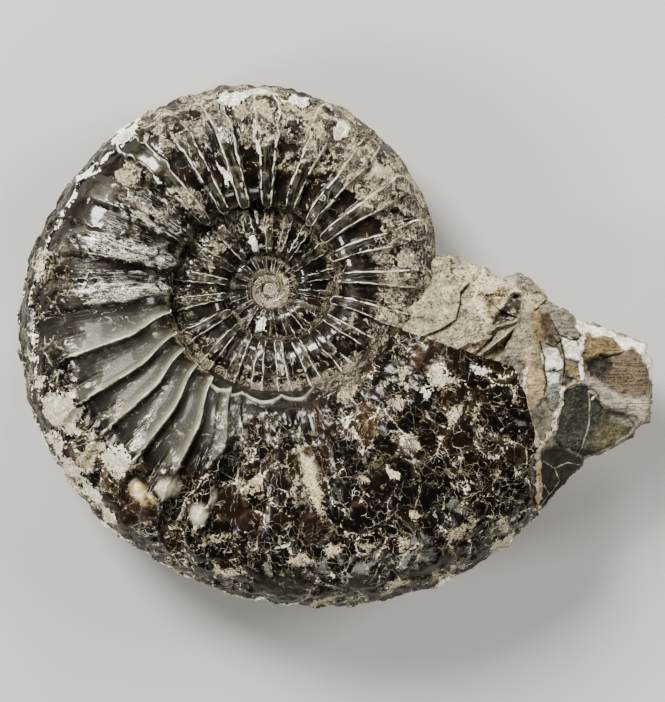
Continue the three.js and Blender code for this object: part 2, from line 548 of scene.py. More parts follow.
class Piece:
    """A piece of the fossil.

    Attributes:
        name: The piece's name.
        crease: Edges that turn by more than this many degrees stay sharp.
    """

    name: str
    crease: float

    def surface(self) -> Surface:
        """The closed skin of the piece."""
        raise NotImplementedError

    def build(self, rest: RestingPlace, finish: Material, slot: str) -> Object:
        """Makes the piece, dresses it and says what it is.

        Args:
            rest: Where the coil lies.
            finish: Its material.
            slot: The record's material slot that the finish stands for; not used.

        Returns:
            The piece, riding on the part's one body and standing for its one node.
        """
        made = self.surface().mesh(self.name, rest, self.crease)
        made.data.materials.append(finish)
        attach(made, BODY)
        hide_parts(CAD_NODE)
        LOG.info("%s: %d faces, finish %s", made.name, len(made.data.polygons), finish.name)
        return made


# ---- The shell ----

# Where each finish lies on the upper flank: growth angles in degrees, radii and sizes in millimetres.
CRUSTED = (
    Patch(-30, 20, 15.2, 25, 0.9), Patch(12, 62, 17.6, 28, 0.9), Patch(55, 100, 20, 30, 0.9),
    Patch(95, 128, 22.5, 31, 0.8), Patch(63, 90, 15.8, 20.5, 0.45), Patch(118, 140, 29.5, 37, 0.7),
    Patch(140, 178, 31.5, 37, 0.1), Patch(178, 206, 31.5, 37, 0.24), Patch(296, 352, 11, 17.5, 0.75),
    Patch(-310, -190, 7.4, 12.4, 0.46), Patch(-345, -18, 10.9, 13.2, 0.42),
    Spot(131.8, 15.9, 4.8, 3.4, 15), Spot(141, 25.1, 4.4, 3.6), Spot(147, 19.9, 8.2, 1.5, 8),
    Spot(128, 27.6, 5, 5, 0, 0.6), Spot(309, 18, 3.4, 5, 0, 0.7), Spot(318, 21.5, 3, 5, 40, 0.45),
    Spot(326, 22.5, 4.5, 3, 30, 0.5), Spot(313, 28.5, 4, 3, 0, 0.45), Spot(304, 26.5, 3, 2.4, 0, 0.4),
)
CREAMY = (
    Spot(97, 26.4, 1.8, 8), Spot(82, 26, 1.6, 4.5, 0, 0.8), Spot(132.6, 28.9, 1.7, 6),
    Spot(65, 23.7, 2.6, 2), Spot(94.5, 20.5, 6, 0.7, 4), Spot(112, 16.8, 3.6, 0.8, 6),
    Spot(163, 30.4, 1, 2.6, 0, 0.9), Spot(148, 30, 0.8, 5, 0, 0.8), Spot(210.5, 32.6, 5.8, 6.6, 20),
    Spot(216, 33.2, 1.8, 1.6), Spot(216, 36.2, 2.4, 4), Spot(222, 37, 2.2, 5), Spot(229, 37.8, 2.2, 5.5),
    Spot(235.5, 38.8, 1.6, 3.4), Spot(229.6, 30.8, 4, 5, 20), Spot(223, 32.2, 1.8, 1.8),
    Spot(203, 33.8, 1.4, 1.6, 0, 0.9), Spot(196, 34.2, 1.4, 2.2, 0, 0.8),
    Spot(303.9, 30.6, 2.6, 0.9, 0, 0.8), Spot(332.8, 26.6, 3.6, 3.4, 0, 0.8),
    Spot(326.5, 25.8, 2.2, 1.6, 40, 0.6), Spot(338.9, 30.4, 1.7, 1.5, 0, 0.7), Spot(312.5, 48, 1.2, 4.2),
    Spot(-462, 5.2, 1.8, 1.9, 20, 0.9), Spot(-248, 7.1, 1.3, 0.9), Spot(-260, 9.6, 2, 0.6),
)
OCHRE = (
    Spot(282.6, 27, 11.5, 2.4, 3), Spot(174.5, 31.6, 1.6, 5, 8, 0.9), Spot(284, 36.6, 2.2, 3),
    Spot(277, 37.6, 1.8, 4, 0, 0.9), Spot(291, 37.6, 1.6, 3, 0, 0.8), Spot(298, 39.6, 2, 2.6, 0, 0.8),
    Spot(303, 37.2, 3, 1.6, 20, 0.9), Spot(314.3, 46, 2.2, 2.4), Spot(320, 40.5, 2.6, 2, 0, 0.6),
    Spot(309, 42.5, 2.4, 5, 0, 0.8), Spot(325, 31, 2, 3.6, 0, 0.8), Spot(332.8, 26.6, 4.6, 4.4, 0, 0.8),
    Spot(329, 32.9, 1.4, 3.2, 0, 0.7), Spot(318.5, 24, 2.2, 1.8, 0, 0.8),
    Spot(296.5, 29, 1.8, 0.9, 0, 0.8), Spot(265, 27.2, 3.4, 2.6, 20, 0.7),
    Spot(262, 39.6, 1.4, 5, 10, 0.8), Spot(280, 44.2, 1.2, 6, 8, 0.9), Spot(293, 44.8, 1.4, 5, 0, 0.9),
    Spot(302, 46.6, 1.2, 4.6, 0, 0.9), Spot(258, 35.4, 2, 4.6, 30, 0.7),
    Spot(223.2, 34, 6.5, 3.4, 25, 0.9), Spot(219, 25.6, 3, 2, 60, 0.6),
)
FIBROUS = (
    Patch(156, 187, 14, 25.5, 0.85), Patch(134, 156, 14.5, 23, 0.62), Patch(101, 122, 17, 26, 0.4),
    Patch(247, 268, 15.8, 27, 0.55), Patch(-150, -20, 7.5, 12, 0.35), Spot(305, 24.2, 7.4, 3.6, -10),
    Spot(309.5, 25.5, 6.6, 0.8, -14), Spot(180, 20.5, 11.5, 1.6, 0), Spot(165.5, 21.5, 13, 1.2, 2),
    Spot(228, 24.4, 9, 1.4, 12, 0.9), Spot(317, 17, 6, 3, -60, 0.8),
)
SATIN_SMOOTH = (
    Patch(187, 246, 12.6, 27.5, 1, 2.2), Patch(236, 296, 12.2, 15.9), Patch(240, 258, 14, 24, 0.9),
    Patch(258, 290, 15, 18.2, 0.8), Spot(150, 26, 4.5, 4.5, 0, 0.5), Spot(157, 28.6, 3.6, 5, 0, 0.45),
    Spot(171, 29, 3.6, 5, 0, 0.45), Spot(192, 30, 5, 5, 0, 0.7), Spot(272, 41, 3, 7),
    Spot(286.7, 42.6, 2.6, 4), Spot(22, 20.2, 3.2, 2.2, 0, 0.8), Spot(56, 21.7, 3.6, 1.6, 0, 0.9),
    Spot(110, 24, 6, 2.4, 0, 0.7),
)
CRACKLED = (
    Patch(241, 352, 17.5, 54), Patch(160, 190, 28, 36, 0.8), Patch(193, 244, 29.5, 42, 0.95),
)
AMBER_BUMPS = (
    Spot(238.2, 33.2, 3.2, 4.8, -15, 1, 0), Spot(241.4, 32.4, 1.8, 2.8, -15, 0.8, 0),
    Spot(333.5, 25.2, 1.4, 2.4, 0, 0.8, 0), Spot(65, 22.8, 1.2, 1.6, 0, 0.6, 0),
)
MILKY_BUMPS = (
    Spot(243.9, 30.2, 4.2, 4, 0, 0.9, 0), Spot(253.4, 32.2, 4, 3.6, 8, 1, 0),
    Spot(255.2, 29.6, 4.6, 1.2, 4, 0.7, 0), Spot(47.5, 22, 2.2, 2.8, 0, 0.9, 0),
)
BARE_SPOTS = (
    Spot(262, 31.6, 6.5, 5, 0, 1), Spot(245.5, 36, 2, 3), Spot(139, 27.4, 1.8, 5.5),
    Spot(18, 19, 1.4, 1.8), Spot(26, 21.4, 2, 1.6), Spot(40, 20.6, 1.6, 1.8), Spot(35, 24.2, 1.2, 2),
    Spot(70, 26, 1.6, 2.4), Spot(78, 27.4, 1.2, 5), Spot(88, 25.2, 2, 1.4), Spot(103, 25, 2.4, 1.6),
    Spot(114, 26, 2, 2.6), Spot(104, 28.2, 1.2, 3.4), Spot(72, 28.4, 1.5, 3.6), Spot(84, 28.8, 1.2, 3.2),
    Spot(95, 29, 1.2, 2.6), Spot(60, 26.6, 1.8, 2.8), Spot(50, 25.4, 1.8, 2.6), Spot(118, 28.8, 1.4, 3.4),
    Spot(110, 23, 2.6, 1.6), Spot(86, 23.4, 2.6, 1.4), Spot(32, 20.4, 2.4, 1.4), Spot(8, 18.6, 2, 1.6),
    Spot(158, 31.9, 1, 5, 4), Spot(148, 31.2, 1, 4, 4), Spot(168, 32.4, 1, 3.6, 4),
    Spot(184, 31, 1.4, 2.4), Spot(172, 19.8, 11, 1.5), Spot(188.5, 19, 8, 1.3),
)
# Parts whose plates are darkened as painted shade, mostly towards the rim.
SHADED_PARTS = (
    Patch(244, 338, 32, 60, 1, 2), Patch(312, 345, 24, 60, 0.7, 2), Patch(248, 300, 17, 32, 0.6, 2),
    Patch(158, 206, 27, 38, 0.8, 2),
)
# How far noise shifts the patches, in millimetres. The edge of the crazed shell, as corners in the
# coil's plane, and the growth angle where it starts. The broken mouth's line, as radii and angles.
PATCH_WANDER = 1.4
SHELL_EDGE = ((0.6, -14.2), (0.0, -15.6), (-2.6, -18.6), (-6.2, -22.6), (-9.9, -27.4), (-12.6, -30.2))
SHELL_EDGE_STARTS = 238.0
BREAK_LINE = ((19.0, 342.0), (35.0, 342.0), (43.4, 329.5), (44.9, 325.0), (48.3, 321.0), (52.0, 320.0))


@dataclass
class Skin:
    """The places on one stretch of the smooth tube.

    Attributes:
        angle, radius, points: The growth angle, radius and position of each place.
        share: The way from the seam (0) to the rim (1).
        level: The height, from -1 on the lower flank to 1 on the upper one.
    """

    angle: Array
    radius: Array
    points: Array
    share: Array
    level: Array


@dataclass(frozen=True)
class Relief:
    """How far the parts of the shell's finish stand out of it or are cut into it, in millimetres."""

    shoulder: float = 0.34
    plain: float = 0.1
    flake: float = 0.2
    crust: float = 0.16
    cream: float = 0.24
    cream_on_plates: float = 0.14
    cream_grain: float = 0.1
    groove: float = 0.15
    plate: float = 0.16
    grit: float = 0.06
    grit_grain: float = 0.12
    bump: float = 0.35
    dent: float = 0.35
    keel: float = 0.16
    worn_rim: float = 0.85
    seam: float = 0.32


@dataclass
class ShellStretch(Piece):
    """One stretch of the coiled tube, with its ribs, flakes, crust and cracks.

    Attributes:
        start, end: The growth angles where it starts and ends.
        columns: Rings along it.
        seen_rows: Points in a ring on the upper flank and the rim.
        hidden_rows: Points in a ring on the lower flank and inside the coil.
        broken_end: Whether its end falls back along the broken mouth.
        first_chamber: Whether a domed first chamber closes the middle of the coil.
        coil, ribs, heights: The tube, its ribs and the relief of its finish.
    """

    name: str
    start: float
    end: float
    columns: int
    seen_rows: int
    hidden_rows: int
    broken_end: bool = False
    first_chamber: bool = False
    coil: Coil = Coil()
    ribs: Ribs = Ribs()
    heights: Relief = Relief()
    crease: float = 50.0

    def ring_angles(self) -> Array:
        """The section's own angles of a ring, evenly spaced along the section at the stretch's middle.

        Returns:
            Angles from 60 degrees below the rim over the upper flank to 165 degrees, close together,
            and on around the lower flank, further apart.
        """
        fine = np.radians(np.linspace(-60.0, 300.0, 4001))
        radius, height = self.coil.section(0.5 * (self.start + self.end), fine)
        length = np.concatenate([[0.0], np.cumsum(np.hypot(np.diff(radius), np.diff(height)))])
        turn_over = np.interp(math.radians(165.0), fine, length)
        seen = np.linspace(0.0, turn_over, self.seen_rows, endpoint=False)
        hidden = np.linspace(turn_over, length[-1], self.hidden_rows, endpoint=False)
        return np.interp(np.concatenate([seen, hidden]), length, fine)

    def column_angles(self) -> Array:
        """Growth angles of equal steps along the rim, whose radius grows as e^(k angle)."""
        k = math.log(self.coil.growth) / 360.0
        lengths = np.linspace(math.exp(k * self.start), math.exp(k * self.end), self.columns)
        return np.log(lengths) / k

    def skin(self) -> Skin:
        """The smooth tube: the section at each growth angle, turned about the coil's axis."""
        angle, around = np.meshgrid(self.column_angles(), self.ring_angles(), indexing="ij")
        if self.broken_end:
            angle = self._fallen_back(angle, around)
        radius, height = self.coil.section(angle, around)
        turn = np.radians(angle)
        points = np.stack([radius * np.cos(turn), radius * np.sin(turn), height], axis=-1)
        rim, seam = self.coil.rim(angle), self.coil.seam(angle)
        share, level = (radius - seam) / (rim - seam), height / self.coil.half_width(angle)
        return Skin(angle, radius, points, share, level)

    def _fallen_back(self, angle: Array, around: Array) -> Array:
        """Squeezes the angles so that the last ring lies on the broken mouth's line.

        Args:
            angle: The growth angles of the rings.
            around: The section's own angles.

        Returns:
            start + share * (the line's angle at the last ring's radius, made ragged - start).
        """
        line = np.array(BREAK_LINE)
        radius = self.coil.section(angle[-1:], around[-1:])[0]
        end = np.interp(radius, line[:, 0], line[:, 1])
        ragged = 0.6 * Grain(71).waves(np.stack([radius, around[-1:] * 8.0, 0 * radius], -1), 1.3)
        share = (angle - self.start) / (self.end - self.start)
        return self.start + share * (end + ragged - self.start)

    def layers(self, skin: Skin) -> dict[Layer, Array]:
        """What the shell carries at each place: its ribs and the finishes of its patches.

        Args:
            skin: The smooth tube.

        Returns:
            Every layer of the shell. Patches are looked up at places that noise has shifted and hold
            on the upper flank; satin gives way to the crazed shell's edge, plates to satin, fibres to
            plates. The hidden flank carries spots of crust and, on the body whorl, plates.
        """
        angle, radius, points, level = skin.angle, skin.radius, skin.points, skin.level
        rim, seen = self.coil.rim(angle), smooth(-0.15, 0.1, level)
        crusty = smooth(-0.3, 0.1, level + 0.55 * Grain(59).rough(points, 6.0, 3))
        wander = np.stack([Grain(7 + k).rough(points, 3.2, 4) for k in range(2)], axis=-1)
        turned = angle + np.degrees(PATCH_WANDER * wander[..., 0] / radius)
        shifted = radius + PATCH_WANDER * wander[..., 1]
        plated = smooth(-0.5, 0.5, side_of_path(points[..., 0], points[..., 1], SHELL_EDGE))
        plated = np.where(angle < SHELL_EDGE_STARTS, 0.0, plated)
        smoothed = painted(SATIN_SMOOTH, turned, shifted) * seen
        satin = smoothed * np.where((radius > 16.6) & (radius < 38.0), 1.0 - plated, 1.0)
        crackle = painted(CRACKLED, turned, shifted) * (1.0 - satin)
        crackle *= np.where((angle > SHELL_EDGE_STARTS) & (radius < 27.0), plated, 1.0)
        crackle = np.maximum(crackle, (1.0 - seen) * between(angle, 150, 360, 20))
        top, edge = self._ribs(skin, satin)
        shouldered = between(angle, 236.0, 296.0, 4.0) * seen
        spots = smooth(0.1, 0.4, Grain(5).rough(points, 6.0, 3)) * (1.0 - seen) * 0.8
        strip = radius - rim * (0.935 + 0.02 * Grain(45).waves(points, 3.0))
        strip = bell(strip, 0.0, 0.3) * between(angle, 134.0, 206.0, 6.0) * seen
        shade = bell(skin.share, 0.02, 0.05) * seen * (1.0 - 0.6 * shouldered) * smooth(2.6, 3.6, radius)
        border, name = self._plates(points)
        # Painted shade: plates are darker in the shaded parts and on the lower flank.
        name = name * (1.0 - 0.55 * painted(SHADED_PARTS, angle, radius)) * (0.6 + 0.4 * seen)
        bumps = 0.5 * (angle + turned), 0.5 * (radius + shifted)
        return {
            Layer.TOP: top,
            Layer.EDGE: edge + 1.0 - seen,
            Layer.SHOULDER: bell(self._from_shoulder(angle, radius), 0.0, 0.3) * shouldered,
            Layer.CRUST: np.maximum(painted(CRUSTED, turned, shifted) * crusty, spots),
            Layer.CREAM: np.maximum(painted(CREAMY, turned, shifted) * seen, 0.56 * strip),
            Layer.OCHRE: painted(OCHRE, turned, shifted) * seen,
            Layer.FIBRE: painted(FIBROUS, turned, shifted) * seen * (1.0 - crackle),
            Layer.CRACKLE: crackle,
            Layer.SATIN: satin,
            Layer.GRIT: self._grit(skin, seen, shouldered),
            Layer.CORE: 1.0 - smooth(2.5, 3.1, radius),
            Layer.SHADE: shade,
            Layer.LOW: 1.0 - smooth(0.0, 0.45, level + 0.16 * Grain(47).waves(points, 3.0)),
            Layer.AMBER: painted(AMBER_BUMPS, *bumps) * seen,
            Layer.MILK: painted(MILKY_BUMPS, *bumps) * seen,
            Layer.KEEL: self._keel(skin),
            Layer.BARE: painted(BARE_SPOTS, turned, shifted) * seen,
            Layer.CRACK: border,
            Layer.TONE: name,
            Layer.ALONG: rim / (math.log(self.coil.growth) / (2.0 * math.pi)),
            Layer.OUT: self._length_out(points),
        }

    def _grit(self, skin: Skin, seen: Array, shouldered: Array) -> Array:
        """Where grit fills the seams.

        Args:
            skin: The smooth tube.
            seen: 1 on the upper flank.
            shouldered: Where the umbilical wall is smooth, which keeps grit off.

        Returns:
            The greatest of a band at the next whorl's seam, the tube's buried inner side and a bell at
            the foot of the flank, thinned by noise.
        """
        angle, radius, share = skin.angle, skin.radius, skin.share
        gritty = smooth(-1.3, -0.2, radius - self.coil.seam(angle + 360.0)) * (angle < -20)
        gritty = np.maximum(gritty, (1.0 - smooth(0.2, 0.6, np.abs(skin.level))) * (share < 0.12))
        foot = 0.72 * bell(share, 0.03, 0.04) * (angle > -20) * seen * (1.0 - shouldered)
        uneven = np.clip(0.92 + 0.7 * Grain(49).waves(skin.points, 4.5), 0.0, 1.0)
        return np.maximum(gritty, foot) * (smooth(2.6, 3.4, radius) * uneven)

    def _keel(self, skin: Skin) -> Array:
        """The torn keel: a wandering band just above the rim's middle, in pieces cut by noise."""
        wobble = 0.1 * Grain(43).waves(skin.points, 3.4)
        keel = between(skin.level, wobble, 0.16 + wobble, 0.06)
        pieces = np.clip(0.72 + 1.3 * Grain(44).waves(skin.points, 5.0), 0.0, 1.0)
        return keel * ((skin.share > 0.8) * smooth(165.0, 185.0, skin.angle) * pieces)

    def _length_out(self, points: Array) -> Array:
        """The length of shell from the first place of each ring to each place, in millimetres."""
        steps = np.linalg.norm(np.diff(points, axis=1), axis=-1)
        return np.concatenate([np.zeros((len(points), 1)), np.cumsum(steps, axis=1)], axis=1)

    def _plates(self, points: Array) -> tuple[Array, Array]:
        """The polygons into which the shell has crazed, with bent borders and of uneven size."""
        drift = np.stack([Grain(21 + k).rough(points, 6.0, 4) for k in range(3)], axis=-1)
        return Grain(11).cells(points + 1.7 * drift, 3.9)

    def _ribs(self, skin: Skin, satin: Array) -> tuple[Array, Array]:
        """The height of the ribs as a share of their full height, and the distance to their edges.

        Args:
            skin: The smooth tube.
            satin: Where the shell's outermost layer is kept and the ribs slope on one side.

        Returns:
            A flat top with round ends and steep flanks, the distance from a rib's spine being the
            hypotenuse of the ways across it and past its ends, made uneven by noise; from 143 to 190
            degrees a round one, (1 - (distance / foot)^2)^0.8; where satin is 1, a long rise and a
            short fall; towards the mouth, a cosine. Then the millimetres to where the top ends.
        """
        ribs, coil, angle, share, radius = self.ribs, self.coil, skin.angle, skin.share, skin.radius
        phase = ribs.number(angle - ribs.lean(angle, share))
        phase = phase - np.round(phase)
        spacing = np.radians(ribs.spacing(angle)) * radius
        last = ribs.last - 0.09 * (1.0 - smooth(-25.0, -5.0, angle))
        beyond = np.maximum(ribs.first - share, share - last) * (coil.rim(angle) - coil.seam(angle))
        unrolled = np.stack([radius, np.radians(angle) * radius, phase], -1)
        ragged = 0.05 * Grain(29).rough(unrolled, 1.0, 2)
        gap = np.hypot(phase, np.maximum(beyond, 0.0) / spacing)
        gap = gap + ragged * np.minimum(1.0, 1.5 / spacing)
        uneven = 0.3 * Grain(57).waves(unrolled * np.array([0.6, 1.0, 0.0]), 3.0)
        gap = gap * (1.0 + uneven * (1.0 - satin))
        crisp = 1.0 - smooth(ribs.top, ribs.foot, gap) + 0.1 * bell(gap, ribs.top - 0.012, 0.02)
        crisp -= 0.12 * np.minimum(gap / ribs.top, 1.0) ** 2
        rounded = between(angle, 143.0, 190.0, 5.0)
        dome = 1.25 * np.clip(1.0 - (gap / (1.1 * ribs.foot)) ** 2, 0.0, 1.0) ** 0.8
        crisp += rounded * (dome - crisp)
        rise = np.clip((phase + 0.5) / (0.5 + ribs.top), 0.0, 1.0)
        sloped = 0.1 * rise + 0.9 * rise**1.6
        sloped = sloped * (1.0 - smooth(ribs.top, ribs.foot, gap) * (phase > 0.0))
        sloped = sloped * (1.0 - smooth(0.0, 0.5, beyond / spacing))
        sloped = sloped + 0.1 * bell(gap, ribs.top - 0.015, 0.022) * (phase > 0.0)
        late = smooth(246.0, 268.0, angle)
        swell = (0.5 + 0.5 * np.cos(2.0 * math.pi * phase)) * smooth(0.05, 0.17, share)
        swell = swell * (1.0 - smooth(0.7, 0.95, share))
        fading = (1.0 - 0.85 * smooth(0.62, 0.95, share)) * smooth(2.3, 3.4, radius)
        top = (1.0 - late) * fading * ((1.0 - satin) * crisp + 0.75 * satin * sloped)
        top = top + 0.22 * late * swell
        edge = np.abs(gap - ribs.top) * spacing / np.clip(radius / 16.0, 0.3, 1.0)
        # Where satin is 1 the edge is pushed off the rising side, so the pale line, partly painted
        # highlight, lies only on the lower edge.
        edge = edge + np.where(phase < 0.02, 2.0 * satin, 0.0) + 3.0 * late + 0.08 * rounded
        return top, edge

    def relief(self, skin: Skin, layers: dict[Layer, Array]) -> Array:
        """How far each place stands out of the smooth tube, in millimetres.

        Args:
            skin: The smooth tube.
            layers: What the shell carries.

        Returns:
            The sum of the ribs; a scalloped shoulder over the smooth wall of the umbilicus; flakes of
            even thickness; plates at uneven heights with grooves between them; lumps of crust, ochre,
            cream and grit; rounded bumps; dents; the torn keel; the outer whorl's worn rim; and a
            groove along the seam. Noise is lower on the smallest whorls.
        """
        angle, radius, points, high = skin.angle, skin.radius, skin.points, self.heights
        half = self.coil.half_width(angle)
        tiny = np.minimum(1.0, radius / 12.0)
        uneven = 1.0 + 0.18 * Grain(33).waves(points, 4.0)
        worms = 1.0 - 2.0 * np.abs(Grain(31).rough(points, 1.1, 3))
        flake = Grain(41).rough(points, 7.0, 4)
        crust, cream, ochre = (layers[k] for k in (Layer.CRUST, Layer.CREAM, Layer.OCHRE))
        crackle, satin, bare = (layers[k] for k in (Layer.CRACKLE, Layer.SATIN, Layer.BARE))
        lumpy = np.maximum(crust, ochre) * (1.0 - bare)
        creamed = smooth(0.42, 0.62, cream + 0.3 * worms)
        rimward = smooth(0.9, 0.98, radius / self.coil.rim(angle))
        outer = between(angle, 60.0, 400.0, 20.0)
        return (
            self.ribs.height_share * half * uneven * layers[Layer.TOP]
            + high.shoulder * layers[Layer.SHOULDER]
            + high.plain * (1.0 - satin) * tiny * Grain(51).rough(points, 3.4, 3)
            + high.flake * tiny * smooth(-0.05, 0.05, flake) * np.maximum(crust, 0.4 * crackle)
            + high.crust * tiny * lumpy * worms
            + (high.cream - high.cream_on_plates * crackle) * creamed
            + high.cream_grain * cream * worms
            + high.groove * crackle * (smooth(0.0, 0.8, layers[Layer.CRACK]) - 1.0)
            + high.plate * crackle * (layers[Layer.TONE] - 0.5)
            + tiny * layers[Layer.GRIT] * (high.grit + high.grit_grain * Grain(61).rough(points, 0.7, 2))
            + high.bump * layers[Layer.AMBER]
            + high.bump * layers[Layer.MILK]
            - high.dent * bare * crackle
            + high.keel * layers[Layer.KEEL] * (0.5 + worms)
            + high.worn_rim * rimward * Grain(53).rough(points, 2.8, 4) * outer
            - high.seam * layers[Layer.SHADE] * tiny
        )

    def _from_shoulder(self, angle: Array, radius: Array, at: float = 15.0) -> Array:
        """The distance to the shoulder of the umbilical wall, uneven arches over two ribs each."""
        turn = np.radians(angle)
        uneven = Grain(37).waves(np.stack([at * np.cos(turn), at * np.sin(turn), 0.0 * turn], -1), 3.0)
        arch = np.abs(np.sin(0.5 * math.pi * self.ribs.number(angle - 3.0)))
        return radius - at - (0.9 + 0.5 * uneven) * arch**0.8

    def surface(self) -> Surface:
        """The closed skin of the stretch."""
        skin = self.skin()
        layers = self.layers(skin)
        points = skin.points + outward_normals(skin.points) * self.relief(skin, layers)[..., None]
        ends = np.stack([points[0].mean(axis=0), points[-1].mean(axis=0)])
        columns, rows = skin.angle.shape
        listed = {k: np.concatenate([v.ravel(), v[0, :1], v[-1, :1]]) for k, v in layers.items()}
        places = np.concatenate([points.reshape(-1, 3), ends])
        made = Surface(places, tube_faces(columns, rows), listed)
        return joined(made, self._dome(listed)) if self.first_chamber else made

    def _dome(self, like: dict[Layer, Array]) -> Surface:
        """The first chamber: a ball with half axes of width, width and rise.

        Args:
            like: The layers that it has to carry too.

        Returns:
            The ball, with every layer at 0 but those of the chamber itself.
        """
        width, rise = 0.95, 0.3
        rings, rows = 24, 48
        down, around = np.meshgrid(
            np.linspace(0.05, math.pi - 0.05, rings),
            np.linspace(0, 2 * math.pi, rows, endpoint=False),
            indexing="ij",
        )
        ball = [np.sin(down) * np.cos(around), np.sin(down) * np.sin(around), np.cos(down)]
        points = np.stack(ball, axis=-1).reshape(-1, 3) * np.array([width, width, rise])
        poles = np.array([[0.0, 0.0, rise], [0.0, 0.0, -rise]])
        layers = {k: np.zeros(rings * rows + 2) for k in like}
        layers[Layer.CORE] += 1.0
        layers[Layer.EDGE] += 2.0
        layers[Layer.CRACK] += 1.0
        layers[Layer.OUT] = np.concatenate([width * np.sin(down).ravel(), [0.0, 0.0]])
        return Surface(np.concatenate([points, poles]), tube_faces(rings, rows), layers)


# ---- The broken end ----


@dataclass(frozen=True)
class Stain:
    """A part of a broken face with a colour and a depth of its own.

    Attributes:
        colour: Its colour.
        outline: Its corners.
        raised: How far it stands out, in millimetres, or in, where it is below 0.
        lined: How strongly fine lines show in it, from 0 to 1.
        soft: The width of its edge in millimetres.
    """

    colour: Colour
    outline: Path
    raised: float = 0.0
    lined: float = 0.0
    soft: float = 0.16

    def mask(self, x: Array, y: Array, ragged: Array) -> Array:
        """1 inside the outline, which noise moves to and fro."""
        return smooth(-self.soft, self.soft, depth_inside(x, y, self.outline) + ragged)


@dataclass(frozen=True)
class Vein:
    """A vein of calcite: its colour, line, half width, height and fine lines, as in Stain."""

    colour: Colour
    path: Path
    half_width: float = 0.32
    raised: float = 0.22
    lined: float = 0.0

    def mask(self, x: Array, y: Array, ragged: Array) -> Array:
        """1 on the line, falling to 0 at half the width, which noise changes."""
        width = self.half_width * (1.0 + 4.5 * ragged)
        return 1.0 - smooth(0.75, 1.1, distance_to_path(x, y, self.path) / np.maximum(width, 0.02))


CHALK = (0.74, 0.71, 0.61)
PALE_SPAR = (0.62, 0.56, 0.43)
SPAR = (0.52, 0.47, 0.36)
BUFF = (0.52, 0.445, 0.3)
STRAW = (0.34, 0.27, 0.155)
GOLD = (0.165, 0.122, 0.056)
TAWNY = (0.098, 0.072, 0.044)
# Dark brown for recesses, gaps and the foot of the layer's edge: painted shade.
RECESS_SHADE = (0.055, 0.036, 0.018)
# Near black for hollows cut into the broken faces: painted shade.
HOLLOW_SHADE = (0.022, 0.018, 0.013)
OLIVE = (0.016, 0.015, 0.009)
MOSS = (0.08, 0.068, 0.032)
CLAY = (0.245, 0.228, 0.158)
ASH = (0.16, 0.147, 0.113)
STEEL = (0.17, 0.172, 0.168)
PEBBLE = (0.25, 0.23, 0.18)


